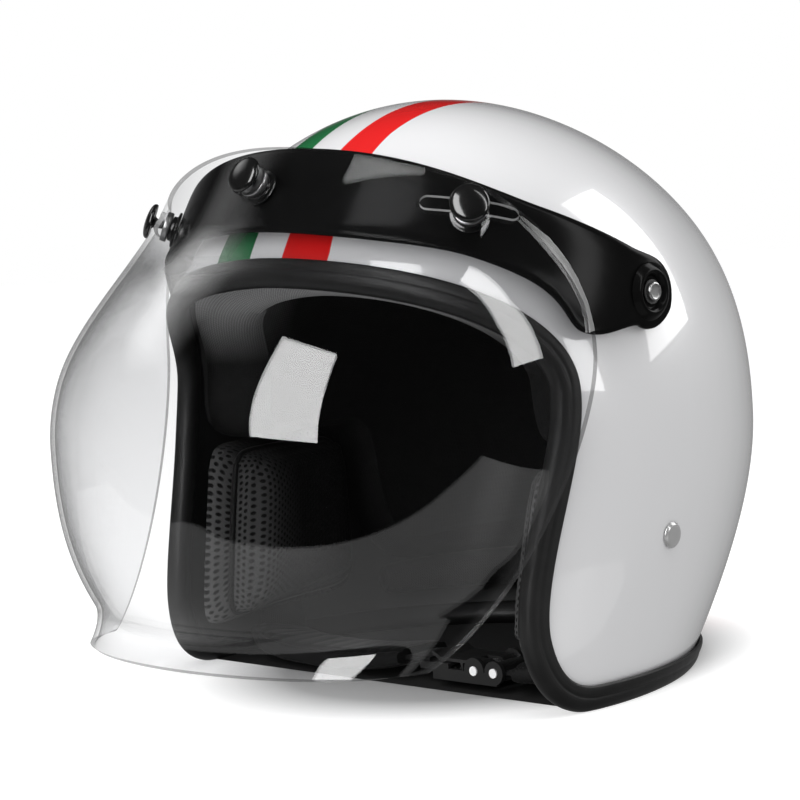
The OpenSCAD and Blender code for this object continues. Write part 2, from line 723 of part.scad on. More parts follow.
module pivot_nuts() {
    color("silver") place() both() off_shell(-shell_wall - wall_room - 0.15) translate([0, -pivot_y, pivot_z]) difference() {
        union() {
            rod_x(nut_r, nut_x + 4, pivot_p.x + 6);
            rod_x(5, nut_x, nut_x + 5);
        }
        rod_x(post_r + 0.05, nut_x - 9, tab_out + 9);
    }
}

module pivot_washers() {
    color("ivory") place() both() translate([0, -pivot_y, pivot_z]) difference() {
        rod_x(button_r + 1, tab_out + 0.45, tab_out + 0.85);
        rod_x(post_r + 0.1, nut_x - 9, tab_out + 9);
    }
}

// Shield band: a superellipse arch in a plane that rises from the flip axis
band_power = 1.89;
// Distance from the flip axis to the shell's centre line along the band's plane
function off_ball(p) = let (w = w_of(p.z - belt_z), u = u_of(p.y + lean_of(w))) u * u + w * w - 1;
function reach_to(a, b, n = 24) =
    let (m = (a + b) / 2) n == 0 ? m : off_ball(pivot_c + m * band_f) > 0 ? reach_to(a, m, n - 1) : reach_to(m, b, n - 1);

band_f = [0, -cos(band_rise), sin(band_rise)];
band_n = [0, sin(band_rise), cos(band_rise)];
pivot_c = [0, -pivot_y, pivot_z];
band_reach = reach_to(20, shell_front + 20) + band_clear;
function band_xf(a) = [
    band_half_w * sign(sin(a)) * pow(abs(sin(a)), 2 / band_power),
    band_reach * pow(abs(cos(a)), 2 / band_power)
];
function band_mid(a) = let (q = band_xf(a)) pivot_c + [q.x, 0, 0] + q.y * band_f;
function band_flat(a) =
    let (
        q = band_xf(a),
        gx = sign(q.x) * pow(abs(q.x) / band_half_w, band_power - 1) / band_half_w,
        gf = pow(q.y / band_reach, band_power - 1) / band_reach
    )
    unit([gx, 0, 0] + gf * band_f);
function lean_at(a) = band_lean * pow(cos(a), 1);
function band_out(a) = cos(lean_at(a)) * band_flat(a) + sin(lean_at(a)) * band_n;
function band_up(a) = cos(lean_at(a)) * band_n - sin(lean_at(a)) * band_flat(a);
function band_share(a) = band_xf(a).y / band_reach;
function lobe_at(s) = s < 0.26 ? pow(sin(90 * s / 0.26), 1.4) : 1 / (1 + pow((s - 0.26) / 0.115, 2));
function band_below(a) =
    let (s = band_share(a)) tab_r + lobe_h * lobe_at(s) + front_h * ease((s - 0.65) / 0.35);
function band_above(a) =
    let (s = band_share(a)) tab_r - 1.7 * ease(s / 0.15) + (front_h + 1.8) * ease((s - 0.5) / 0.5);
snap_angles = [-snap_turn, 0, snap_turn];
band_steps = 44;

module shield_band() {
    // More stations where the arch turns from the front into the sides
    angles = [for (i = [0 : band_steps]) let (s = 1 - 2 * i / band_steps) 90 * sign(s) * pow(abs(s), 0.9)];
    rings = [for (a = angles)
        let (
            p = band_mid(a), o = band_out(a), u = band_up(a),
            lo = band_below(a), hi = band_above(a), h = band_t / 2, lip = 1.4 * cos(a)
        )
        [
            p + (h + lip) * o - lo * u, p + h * o - (lo - 6) * u, p + h * o + (hi - 1.2) * u,
            p + 0.3 * h * o + hi * u, p - h * o + (hi - 0.6) * u, p - h * o - (lo - 6) * u,
            p + (lip - h) * o - lo * u, p + lip * o - (lo + 0.8) * u
        ]
    ];
    color([0.06, 0.06, 0.07]) place() difference() {
        union() {
            swept(rings, false);
            both() translate(pivot_c) rod_x(tab_r + 0.3, tab_in - 0.1, tab_out + 0.1);
            both() translate(pivot_c + [tab_out - 0.3, 0, 0]) rotate([0, 90, 0]) rotate_extrude() polygon([
                [6.4, 0], [11.5, 0], [9.4, dish_h], [8, dish_h]
            ]);
        }
        both() translate(pivot_c) rod_x(post_r + post_fit, tab_in - 9, tab_out + 9);
        for (a = snap_angles) aim(band_mid(a), band_out(a)) translate([0, 0, -9]) cylinder(r = 2, h = 18);
    }
}

// Slot along the sheet's rows at a side snap
module slot_cut(k) {
    a = snap_angles[k];
    m = snap_meet[k];
    o = band_out(a);
    u = unit(cross(o, bubble_at(m[1], m[2] + 1) - bubble_at(m[1], m[2] - 1)));
    s = cross(u, o);
    multmatrix([
        [s.x, u.x, o.x, band_mid(a).x], [s.y, u.y, o.y, band_mid(a).y],
        [s.z, u.z, o.z, band_mid(a).z], [0, 0, 0, 1]
    ]) linear_extrude(40) union() {
        square([slot_len - slot_w, slot_w], center = true);
        for (e = [-1, 1]) translate([e * (slot_len - slot_w) / 2, 0]) circle(d = slot_w);
    }
}

// Bubble: sections from edge to edge over a nose line
snap_reach = band_t / 2 + snap_gap + bubble_t;
snap_hit = band_mid(0) + snap_reach * band_out(0);
top_margin = 14;
nose_top = snap_hit + top_margin * band_up(0);
nose_upper = [nose_top, nose_top - 56.5 * band_up(0), [0, -nose_y, nose_z + 46], [0, -nose_y, nose_z]];
waist_z = hem_z + 12;
nose_lower = [
    [0, -nose_y, nose_z], [0, -nose_y, nose_z - 35], [0, -nose_y + 8, waist_z + 17], [0, -nose_y + 24.5, waist_z]
];
nose_hem = [
    [0, -nose_y + 24.5, waist_z], [0, -nose_y + 28, waist_z - 4], [0, -nose_y + 29, hem_z + 6], [0, -nose_y + 22, hem_z]
];
function nose_at(t) =
    t < 0.5 ? bez(nose_upper, t / 0.5) : t < 0.85 ? bez(nose_lower, (t - 0.5) / 0.35) : bez(nose_hem, (t - 0.85) / 0.15);
// Side edge, scaled with the shell's width and front
bubble_half_w = half_w + bubble_side;
sx = bubble_half_w / 128.3;
sy = shell_front / 121;
edge_upper = [
    [97.2 * sx, -69.4 * sy, 207.2], [116 * sx, -57.8 * sy, 191.2],
    [bubble_half_w, -51.4 * sy, 171], [bubble_half_w, -51.4 * sy, 143.5]
];
edge_lower = [
    [bubble_half_w, -51.4 * sy, 143.5], [bubble_half_w, -51.4 * sy, 115.5],
    [113.8 * sx, -79.7 * sy, hem_z + 22], [94 * sx, -119.5 * sy, hem_z - 1]
];
function edge_at(t) = t < 0.42 ? bez(edge_upper, t / 0.42) : bez(edge_lower, (t - 0.42) / 0.58);
// Share of the nose line in a section, drawn in between the snaps at the top
function nose_share(t, a) = cos(a) * (1 - 0.37 * (1 - ease(t / 0.4)) * pow(sin(a), 2));
function bubble_at(t, a) =
    let (e = edge_at(t), n = nose_at(t), c = nose_share(t, a)) [e.x * sin(a), mix(e.y, n.y, c), mix(e.z, n.z, c)];
function bubble_n(t, a) =
    let (
        h = 0.004,
        t0 = max(0, t - h), t1 = min(1, t + h)
    )
    unit(cross(bubble_at(t1, a) - bubble_at(t0, a), bubble_at(t, a + 0.5) - bubble_at(t, a - 0.5)));
bubble_rows = 24;
bubble_cols = 26;

// Where a snap's axis meets the bubble: [distance along the axis, row, angle]
function det3(a, b, c) = a * cross(b, c);
function meet(p, o, g, n = 12) =
    n == 0 ? g :
    let (
        r = bubble_at(g[1], g[2]) - p - g[0] * o,
        jt = (bubble_at(g[1] + 0.002, g[2]) - bubble_at(g[1] - 0.002, g[2])) / 0.004,
        ja = (bubble_at(g[1], g[2] + 0.2) - bubble_at(g[1], g[2] - 0.2)) / 0.4,
        d = det3(-o, jt, ja)
    )
    meet(p, o, g - [det3(r, jt, ja), det3(-o, r, ja), det3(-o, jt, r)] / d, n - 1);
snap_meet = [for (a = snap_angles) meet(band_mid(a), band_out(a), [snap_reach, 0.08, a * 1.3])];

module shield_bubble() {
    ts = [for (j = [0 : bubble_rows]) j / bubble_rows];
    as = [for (i = [0 : bubble_cols]) 90 * (1 - 2 * i / bubble_cols)];
    color([0.8, 0.85, 0.9, 0.35]) place() difference() {
        sheet(
            [for (t = ts) [for (a = as) bubble_at(t, a)]],
            [for (t = ts) [for (a = as) bubble_at(t, a) - bubble_t * bubble_n(t, a)]]
        );
        aim(band_mid(0), band_out(0)) cylinder(r = 2.2, h = 30);
        for (k = [0, 2]) slot_cut(k);
    }
}

// Slope of the sheet across a snap's axis
function snap_slope(k) =
    let (c = bubble_n(snap_meet[k][1], snap_meet[k][2]) * band_out(snap_angles[k])) sqrt(1 / (c * c) - 1);

// Snaps, drawn along their axis with z = 0 in the middle of the band's thickness
module snaps() {
    place() for (k = [0 : 2]) aim(band_mid(snap_angles[k]), band_out(snap_angles[k])) {
        $top = snap_meet[k][0];
        $seat = $top + 0.4 + cap_r * snap_slope(k);
        children();
    }
}

stud_r = 3.6;
flange_t = 1.4;
module snap_studs() {
    color("black") snaps() rotate_extrude() polygon([
        [0, band_t / 2 + 0.35], [cap_r, band_t / 2 + 0.35], [cap_r, band_t / 2 + flange_t],
        [5.6, band_t / 2 + flange_t + 0.3], [5.6, $top - bubble_t - 4.6], [stud_r, $top - bubble_t - 4.3],
        [stud_r, $top - bubble_t - 2.4], [stud_r - 0.7, $top - bubble_t - 1.8], [0, $top - bubble_t - 1.8]
    ]);
}

module snap_backs() {
    color("silver") snaps() union() {
        translate([0, 0, -band_t / 2 - 1.6]) cylinder(r = 6, h = 1.2);
        translate([0, 0, -band_t / 2 - 0.5]) cylinder(r = 1.7, h = band_t + 0.8);
    }
}

module snap_sockets() {
    color("silver") snaps() difference() {
        translate([0, 0, $top - bubble_t - 4.1]) cylinder(r = cap_r - 1.3, h = 2.8);
        translate([0, 0, $top - bubble_t - 5]) cylinder(r = stud_r + 0.05, h = 3.4);
        cylinder(r = 2.2, h = 40);
    }
}

module snap_caps() {
    color("black") snaps() rotate_extrude() polygon([
        [0, $top - bubble_t - 1.3], [1.9, $top - bubble_t - 1.3], [1.9, $seat], [cap_r - 0.6, $seat],
        [cap_r, $seat + 0.3], [cap_r, $seat + 1.3], [cap_r - 1.2, $seat + 2.5], [cap_r - 3.6, $seat + 3.2],
        [0, $seat + 3.5]
    ]);
}

outer_shell();
edge_trim();
impact_liner();
comfort_lining();
neck_roll();
cheek_pad_left();
cheek_pad_right();
cheek_plate_left();
cheek_plate_right();
pad_studs();
strap_rivets();
rivet_washers();
strap_hangers();
chin_strap_left();
chin_strap_right();
strap_pad_left();
strap_pad_right();
buckle_housing();
buckle_pins();
buckle_lever();
buckle_spring();
buckle_tongue();
pivot_posts();
pivot_bosses();
pivot_nuts();
pivot_washers();
shield_band();
shield_bubble();
snap_studs();
snap_backs();
snap_sockets();
snap_caps();
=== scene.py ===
# %% [markdown]
# An open face helmet with a flip-up bubble shield, dressed for its portrait.
# The exact model comes first, as a frame of named nodes that never move. Most of what the eye
# sees is then drawn again over it as fine surfaces, worked out with numpy from the same formulas
# that drew the exact model, so each one lands where its node is.

# %% The frame and the tools
import math

import bmesh
import bpy
import numpy as np
from mathutils import Matrix, Vector


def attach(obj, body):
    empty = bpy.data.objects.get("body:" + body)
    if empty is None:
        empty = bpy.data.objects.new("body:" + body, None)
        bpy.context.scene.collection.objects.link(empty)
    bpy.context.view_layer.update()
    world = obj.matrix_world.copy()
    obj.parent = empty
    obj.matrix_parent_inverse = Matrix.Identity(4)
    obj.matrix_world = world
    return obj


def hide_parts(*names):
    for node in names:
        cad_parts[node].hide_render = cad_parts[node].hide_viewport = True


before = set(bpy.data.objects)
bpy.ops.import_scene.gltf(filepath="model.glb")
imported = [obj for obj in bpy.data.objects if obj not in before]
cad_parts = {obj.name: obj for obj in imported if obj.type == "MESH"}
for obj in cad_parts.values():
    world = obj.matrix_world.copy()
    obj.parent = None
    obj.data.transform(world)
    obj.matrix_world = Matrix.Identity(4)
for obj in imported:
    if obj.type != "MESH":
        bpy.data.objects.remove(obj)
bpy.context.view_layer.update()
MM = 0.001
SHIFT = np.array([0.0, 18.0, 0.0])  # from the source's zero to the frame's, in millimetres

# %% [markdown]
# Shaders are sums and products of small maths nodes. Wiring them by hand is slow to read, so a
# socket is wrapped in a class that understands + - * / and builds the node behind the sign.
# One method makes every other node, and takes numbers or wrapped sockets as its inputs.

# %% A socket that can be added and multiplied
class Wire:
    """One output of a node tree, used like a number."""

    def __init__(self, tree, socket):
        self.tree, self.socket = tree, socket

    def maths(self, kind, *terms):
        """A maths node of that kind, fed with the terms in order."""
        node = self.tree.nodes.new("ShaderNodeMath")
        node.operation = kind
        for slot, term in zip(node.inputs, terms):
            plug(self.tree, slot, term)
        return Wire(self.tree, node.outputs[0])

    def __neg__(self):
        return self * -1.0

    def sin(self):
        return self.maths("SINE", self)

    def size(self):
        return self.maths("ABSOLUTE", self)

    def step(self, low, high):
        """0 below low, 1 above high, straight between."""
        ramp = (self - low) / (high - low)
        return self.maths("MINIMUM", self.maths("MAXIMUM", ramp, 0.0), 1.0)


def plug(tree, slot, value):
    """Links a wrapped socket to a slot, or sets the slot to a plain value."""
    if isinstance(value, Wire):
        tree.links.new(value.socket, slot)
    else:
        slot.default_value = value


SIGNS = {"add": "ADD", "sub": "SUBTRACT", "mul": "MULTIPLY", "truediv": "DIVIDE", "pow": "POWER"}
for sign, kind in SIGNS.items():
    setattr(Wire, "__%s__" % sign, lambda left, right, kind=kind: left.maths(kind, left, right))
    setattr(Wire, "__r%s__" % sign, lambda right, left, kind=kind: right.maths(kind, left, right))


class Finish:
    """A material with one Principled shader and the methods that make any other node."""

    def __init__(self, name, **fixed):
        self.material = bpy.data.materials.new(name)
        self.material.use_nodes = True
        self.tree = self.material.node_tree
        self.tree.nodes.clear()
        self.shader = self.tree.nodes.new("ShaderNodeBsdfPrincipled")
        self.end = self.tree.nodes.new("ShaderNodeOutputMaterial")
        self.tree.links.new(self.shader.outputs[0], self.end.inputs[0])
        self.look(**fixed)

    def feed(self, node, **inputs):
        """Sets inputs by name, an underscore standing for a space."""
        for name, value in inputs.items():
            plug(self.tree, node.inputs[name.replace("_", " ")], value)

    def look(self, **inputs):
        """Sets inputs of the material's own shader."""
        self.feed(self.shader, **inputs)

    def add(self, kind, out=0, **inputs):
        """A node of any kind with its inputs; gives the wrapped output."""
        node = self.tree.nodes.new(kind)
        self.feed(node, **inputs)
        return Wire(self.tree, node.outputs[out])

    def split(self, output):
        """The parts of a texture coordinate."""
        node = self.tree.nodes.new("ShaderNodeSeparateXYZ")
        plug(self.tree, node.inputs[0], self.add("ShaderNodeTexCoord", output))
        return [Wire(self.tree, part) for part in node.outputs]

    def place(self):
        """Object coordinates x, y and z in millimetres."""
        return [part * (1.0 / MM) for part in self.split("Object")]

    def flat(self):
        """The piece's own UV map, in millimetres across and along."""
        return self.split("UV")[:2]

    def noise(self, size, detail=2.0):
        """Cloudy noise with features of that many millimetres."""
        spot = self.add("ShaderNodeTexCoord", "Object")
        return self.add("ShaderNodeTexNoise", Vector=spot, Scale=1.0 / MM / size, Detail=detail)

    def blend(self, share, low, high):
        """A colour between two colours."""
        node = self.tree.nodes.new("ShaderNodeMix")
        node.data_type = "RGBA"
        for slot, value in zip((0, 6, 7), (share, low, high)):
            plug(self.tree, node.inputs[slot], value)
        return Wire(self.tree, node.outputs[2])

    def bump(self, height, depth):
        """Raises the surface by height times depth, depth in millimetres."""
        self.look(Normal=self.add("ShaderNodeBump", Height=height, Distance=depth * MM, Strength=1.0))


def grey(value):
    """A neutral colour from one linear value."""
    return (value, value, value, 1.0)


print("signs a socket understands", list(SIGNS))

# %% [markdown]
# The shell is gloss white paint under clear lacquer, with a green and a red stripe either side of
# a white one, all running front to back. The stripes follow the distance from the middle plane, so
# Object coordinates place them; they open out a little towards the brow. The lacquer is a coat on
# the shader, and the faint orange peel of sprayed paint is a bump too small to see except in
# reflections.

# %% Painted shell
STRIPE_IN, STRIPE_OUT, STRIPE_SPREAD, PAINT_EDGE = 9.6, 26.0, 7.0, 0.2
SPREAD_HEIGHTS = (188.0, 236.0)
RED, GREEN = (0.70, 0.012, 0.012, 1), (0.012, 0.16, 0.05, 1)
shell_paint = Finish("shell paint", Coat_Weight=1.0, Coat_Roughness=0.03, Specular_IOR_Level=0.5)
x, _, z = shell_paint.place()
stripe_end = STRIPE_OUT + STRIPE_SPREAD * (1.0 - z.step(*SPREAD_HEIGHTS))
side = x.size()
stripe = side.step(STRIPE_IN - PAINT_EDGE, STRIPE_IN + PAINT_EDGE)
stripe = stripe * (1.0 - (side - stripe_end).step(-PAINT_EDGE, PAINT_EDGE))
white = shell_paint.blend(shell_paint.noise(40.0), (0.69, 0.69, 0.70, 1), (0.71, 0.71, 0.72, 1))
flag = shell_paint.blend(1.0 - x.step(-0.1, 0.1), RED, GREEN)
shell_paint.look(Base_Color=shell_paint.blend(stripe, white, flag))
shell_paint.look(Roughness=0.22 + 0.06 * shell_paint.noise(60.0))
shell_paint.bump(shell_paint.noise(1.6, 1.0), 0.006)
print("stripes from", STRIPE_IN, "mm to", STRIPE_OUT, "mm at the crown")

# %% [markdown]
# The edge trim is soft black rubber, extruded and pushed over the shell's edge. Rubber is satin,
# never quite even, and carries fine lines along its length from the die.

# %% Rubber, foam and hard plastics
trim_rubber = Finish("trim rubber", Specular_IOR_Level=0.25)
across, _ = trim_rubber.flat()
die_lines = (across * 5.2).sin() * 0.5 + (across * 13.7).sin() * 0.3
trim_rubber.look(Base_Color=trim_rubber.blend(trim_rubber.noise(9.0), grey(0.009), grey(0.016)))
trim_rubber.look(Roughness=0.34 + 0.16 * trim_rubber.noise(4.0, 4.0))
trim_rubber.bump(die_lines + trim_rubber.noise(0.5) * 1.5, 0.012)


def moulded(name, low, high, rough, grain=0.8, **fixed):
    """Moulded plastic: two close greys, a noisy roughness and a fine grain."""
    made = Finish(name, **fixed)
    made.look(Base_Color=made.blend(made.noise(14.0), grey(low), grey(high)))
    made.look(Roughness=rough + 0.08 * made.noise(6.0, 4.0))
    made.bump(made.noise(grain), 0.008)
    return made


band_plastic = moulded("band plastic", 0.004, 0.006, 0.12, 3.0, Specular_IOR_Level=0.06)
snap_plastic = moulded("snap plastic", 0.005, 0.008, 0.14, 3.0, Coat_Weight=0.5, Coat_Roughness=0.06)
plate_plastic = moulded("plate plastic", 0.03, 0.045, 0.42)
buckle_dark = moulded("buckle plastic", 0.012, 0.02, 0.33)
lever_plastic = moulded("lever plastic", 0.016, 0.026, 0.30)
tongue_plastic = moulded("tongue plastic", 0.014, 0.022, 0.36)
foam = moulded("liner foam", 0.012, 0.022, 0.85, 3.4)
shell_inside = moulded("shell inside", 0.010, 0.018, 0.6, 2.0)
print("finishes so far", len(bpy.data.materials))


# %% [markdown]
# Metal is a colour for its reflection and a roughness that wanders. The strap rivets
# and the buckle's pins are plated and dulled, so they scatter light too; the pins are also painted
# near white, a painted highlight that keeps them bright in the shade under the hem. The rest is
# plain steel.

# %% Metals
def metal(name, shade, rough, mark, bare=1.0):
    """Metal: how bare it is, streaky roughness and shallow marks of that size."""
    made = Finish(name, Metallic=bare, Specular_IOR_Level=0.5)
    streak = made.noise(mark, 5.0)
    made.look(Base_Color=made.blend(streak, grey(shade * 0.86), grey(shade)), Roughness=rough + 0.14 * streak)
    made.bump(made.noise(mark * 0.4), 0.004)
    return made


rivet_chrome = metal("rivet chrome", 0.60, 0.16, 5.0, 0.45)
steel = metal("plain steel", 0.55, 0.26, 1.6)
# The pins' near white colour is a painted highlight, bright in the shade under the hem.
pin_steel_painted_bright = metal("pin steel painted bright", 0.90, 0.30, 1.6, 0.15)
button_metal = metal("button metal", 0.46, 0.24, 2.4)
print("finishes so far", len(bpy.data.materials))

# %% [markdown]
# Cloth is pattern more than colour. Each weave is a height made of sine waves of the piece's own
# UV map, which is laid out in millimetres so that a stitch keeps its real size: a fine knit for
# the lining, an open air mesh of round holes for the cheeks, ribs with a twill for the webbing and
# a pebbled grain for the strap pads. The inside in the photograph goes dark faster than lamps and
# sky make it, so a cloth can carry painted shade: its colour darkens with y towards the inside,
# and rises from painted dark with z.

# %% Cloth
PAINTED_SHADE_DEPTHS = (-52.0, 0.0)
KNIT_PITCH, MESH_PITCH, TWILL_PITCH = (1.7, 1.2), 2.7, (2.0, 1.5)


def cloth(name, low, high, height, depth, rough, sheen, painted_deep_shade=1.0, lit=None):
    """Cloth by one height pattern; deep is its painted shade far inside, lit the heights where it rises from
    painted dark.
    """
    made = Finish(name, Sheen_Weight=sheen, Sheen_Roughness=0.4, Specular_IOR_Level=0.12)
    relief = height(*made.flat())
    _, y, z = made.place()
    # Painted shade: the colour darkens towards the inside with y, and below the lit heights with z.
    shade = relief * (1.0 - (1.0 - painted_deep_shade) * y.step(*PAINTED_SHADE_DEPTHS))
    if lit:
        shade = shade * z.step(*lit)
    made.look(Base_Color=made.blend(shade, grey(low), grey(high)), Roughness=rough - 0.12 * made.noise(3.0))
    made.bump(relief, depth)
    return made


def phase(length, pitch):
    """Phase of a wave that repeats at the pitch."""
    return length * (2 * math.pi / pitch)


def knit(across, along):
    """Rows of slanted stitches: two sines, the second bent by the first."""
    wave = phase(across, KNIT_PITCH[0]).sin()
    return ((phase(along, KNIT_PITCH[1]) + wave * 1.3).sin() * 0.3 + 0.7) * (0.7 + 0.3 * wave.size())


def air_mesh(across, along):
    """Round holes on a triangular grid: three cosines at sixty degrees, cut off high."""
    total = 0.0
    for angle in np.radians([0.0, 60.0, 120.0]):
        slant = across * math.cos(angle) + along * math.sin(angle)
        total = (phase(slant, MESH_PITCH) + math.pi / 2).sin() + total
    return 1.0 - total.step(0.1, 1.7)


def twill(across, along):
    """Ribs along the strap crossed by slanted threads."""
    ribs = phase(across, TWILL_PITCH[0]).sin().size()
    return ribs * 0.6 + ((phase(along, TWILL_PITCH[1]) + across * 2.1).sin() * 0.5 + 0.5) * 0.4


def grain(across, along):
    """Pebbled leathercloth: the product of two crossed pairs of sines."""
    a = (across * 3.9 + (along * 2.3).sin() * 1.4).sin()
    return (a * (along * 4.3 + (across * 1.7).sin() * 1.6).sin()) * 0.5 + 0.5


# Painted shade and light: the lining is painted near black deep inside and below 138 mm, and its pale is
# raised so the brow fold in the shade under the trim reads lit; the cheek mesh is painted near black deep
# inside.
lining_knit = cloth("lining knit", 0.006, 0.36, knit, 0.2, 0.85, 0.02, 0.02, (138.0, 166.0))
pad_mesh = cloth("cheek mesh", 0.002, 0.075, air_mesh, 0.5, 0.85, 0.01, 0.03)
webbing = cloth("webbing", 0.003, 0.014, twill, 0.22, 0.7, 0.05)
strap_pad = cloth("strap pad cloth", 0.004, 0.010, grain, 0.08, 0.55, 0.05)
print("finishes so far", len(bpy.data.materials))

# %% [markdown]
# The bubble is a thin clear sheet. Real glass shaders bend and darken what lies behind, which for
# a 2 mm sheet is hardly seen and costs much time, so the sheet is a mix of a faintly smoked
# see-through shader and a sharp gloss. The share of gloss grows from 4 per cent face on to all at
# a glance, by the fifth power of the slant, on both faces of the sheet alike. Where the sheet bends
# in below the band its forming left it hazy, and there its gloss is raised to up to three times
# that share, a painted reflection, so cards show there as a soft veil; the sheet over the band is
# held back so that no card shows twice. Cut edges have finishes of their own: the border is
# painted dark, a painted shade, and the walls of the slots are painted pale, a painted highlight
# where they gather light.

# %% Clear sheet
BEND_HEIGHTS, BAND_HEIGHTS, BEND_SIDES = (174.0, 184.0), (186.0, 202.0), (15.0, 55.0)
FACE_ON_GLOSS, BEND_HAZE, BEND_GLOSS, HELD_BACK = 0.04, 0.32, 2.0, 0.75


def clear_sheet(name, tint, gloss_rough):
    """Transparent and glossy shaders mixed by Fresnel."""
    made = Finish(name)
    made.tree.nodes.remove(made.shader)
    through = made.add("ShaderNodeBsdfTransparent", Color=tint)
    x, _, z = made.place()
    over = z.step(*BAND_HEIGHTS)
    bend = z.step(*BEND_HEIGHTS) * (1.0 - over) * (1.0 - x.size().step(*BEND_SIDES))
    shine = made.add("ShaderNodeBsdfGlossy", Color=grey(0.98), Roughness=gloss_rough + BEND_HAZE * bend)
    facing = made.add("ShaderNodeLayerWeight", "Facing", Blend=0.5)
    scratch = made.noise(0.35, 3.0).step(0.70, 0.78) * 0.02
    gloss = FACE_ON_GLOSS + (1.0 - FACE_ON_GLOSS) * facing ** 5.0 + scratch
    # Painted reflection: the bend mirrors up to three times its share, and over the band only a quarter of
    # it.
    gloss = gloss * (1.0 + BEND_GLOSS * bend) * (1.0 - HELD_BACK * over)
    both = made.tree.nodes.new("ShaderNodeMixShader")
    for slot, wire in zip(both.inputs, (gloss, through, shine)):
        plug(made.tree, slot, wire)
    made.tree.links.new(both.outputs[0], made.end.inputs[0])
    return made


bubble_clear = clear_sheet("clear sheet", (0.945, 0.946, 0.949, 1), 0.015)
# Painted shade and highlight: the cut border is painted dark, and the slot walls are painted pale.
painted_dark_border = moulded("clear sheet border painted dark", 0.025, 0.045, 0.12, 2.0, Alpha=0.55)
painted_pale_slot_wall = moulded("clear sheet slot wall painted pale", 0.45, 0.62, 0.10, 2.0, Alpha=0.85)
print("finishes", [m.name for m in bpy.data.materials])

# %% [markdown]
# Every new piece is a list of points and faces. A grid of points gives four-cornered faces, closed
# on itself where it goes round; a fan closes a pole. The UV of each corner is kept beside its face,
# so a seam in the pattern needs no second row of points.

# %% Grids, fans and pieces
def point(*coordinates):
    """Points from numbers or arrays of their coordinates."""
    return np.stack(np.broadcast_arrays(*coordinates), -1)


def join(*arrays):
    return np.concatenate(arrays)


def cells(rows, cols, start=0, round_cols=True, round_rows=False):
    """Corner numbers of each cell of a grid, and the corners' rows and columns."""
    j, i = np.meshgrid(np.arange(rows - (not round_rows)), np.arange(cols - (not round_cols)), indexing="ij")
    corner = np.stack([point(j + dj, i + di) for dj, di in ((0, 0), (0, 1), (1, 1), (1, 0))], -2)
    corner = corner.reshape(-1, 4, 2)
    return start + (corner[..., 0] % rows) * cols + corner[..., 1] % cols, corner


def fan(centre, start, cols):
    """Triangles from one point to a closed ring."""
    i = np.arange(cols)
    return point(centre, start + i, start + (i + 1) % cols)


def capped(rings, ends):
    """Rings closed by a fan at each end: points, groups of faces, and corners of the cells."""
    rows, cols = rings.shape[:2]
    faces, corner = cells(rows, cols)
    groups = [faces, fan(rows * cols, 0, cols), fan(rows * cols + 1, (rows - 1) * cols, cols)]
    return join(rings.reshape(-1, 3), ends), groups, corner


def flat_uv(corner, across, along, cols=0):
    """UV from a length for each column and each row; fans of that many columns get none."""
    none = np.zeros((cols, 3, 2))
    return [point(across[corner[..., 1]], along[corner[..., 0]]), none, none]


def arc_length(line, closed=False):
    """Distance run along a line at each of its points, and back to the first if it is closed."""
    line = join(line, line[:1]) if closed else line
    return join([0.0], np.cumsum(np.linalg.norm(np.diff(line, axis=0), axis=1)))


def ring_of(angles, radius=1.0):
    """Points of a circle at the angles."""
    return radius * point(np.cos(angles), np.sin(angles))


def circle(n, radius=1.0):
    """n points once round."""
    return ring_of(np.linspace(0, 2 * np.pi, n, endpoint=False), radius)


def put(name, points, faces, finishes, body, node=None, uv=None, kinds=None, sharp=40.0):
    """Makes a mesh object from points in millimetres, and hands it to its body."""
    mesh = bpy.data.meshes.new(name)
    listed = [face for group in faces for face in group.tolist()]
    mesh.from_pydata(((points.reshape(-1, 3) + SHIFT) * MM).tolist(), [], listed)
    if uv is not None:
        corners = join(*(u.reshape(-1, 2) for u in uv))
        mesh.uv_layers.new(name="flat").data.foreach_set("uv", corners.astype(np.float32).ravel())
    for finish in finishes:
        mesh.materials.append(finish.material)
    if kinds is not None:
        mesh.polygons.foreach_set("material_index", join(*kinds).astype(np.int32))
    shape = bmesh.new()
    shape.from_mesh(mesh)
    bmesh.ops.remove_doubles(shape, verts=shape.verts, dist=1e-6)
    bmesh.ops.recalc_face_normals(shape, faces=shape.faces)
    shape.to_mesh(mesh)
    shape.free()
    mesh.shade_smooth()
    mesh.set_sharp_from_angle(angle=math.radians(sharp))
    made = bpy.data.objects.new(name, mesh)
    bpy.context.scene.collection.objects.link(made)
    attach(made, body)
    if node:
        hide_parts(node)
    print(name, len(mesh.vertices), "points", len(mesh.polygons), "faces")
    return made


# %% [markdown]
# The shell is a unit ball whose three axes are stretched by smooth maps: higher above the widest
# level than a sphere would be, longer behind than in front, full at the sides, and leaning forward
# below. Everything that lies on or in the shell uses the same ball: a place on it is a direction,
# and its distance from the shell is measured along the surface normal.

# %% The ball under the shell
FRONT, REAR, TOP, LOW, BELT, HALF, FULL, LEAN = 121.0, 154.0, 146.0, 339.0, 106.0, 125.0, 0.057, 33.0
POLE = np.array([0.0, math.sin(math.radians(35.0)), math.cos(math.radians(35.0))])
FLIP = np.array([-1.0, 1.0, 1.0])
# Height over the widest level is a cubic, steep above and slow below; length is a quadratic.
z_of = np.polynomial.Polynomial([0.0, (3 * TOP + LOW) / 4, (TOP - LOW) / 2, (LOW - TOP) / 4])
y_of = np.polynomial.Polynomial([0.0, (FRONT + REAR) / 2, (REAR - FRONT) / 2])


def mix(a, b, t):
    return a + (b - a) * t


def ease(t):
    """Smooth step from 0 to 1."""
    c = np.clip(t, 0.0, 1.0)
    return c * c * (3.0 - 2.0 * c)


def unit(v):
    return v / np.linalg.norm(v, axis=-1, keepdims=True)


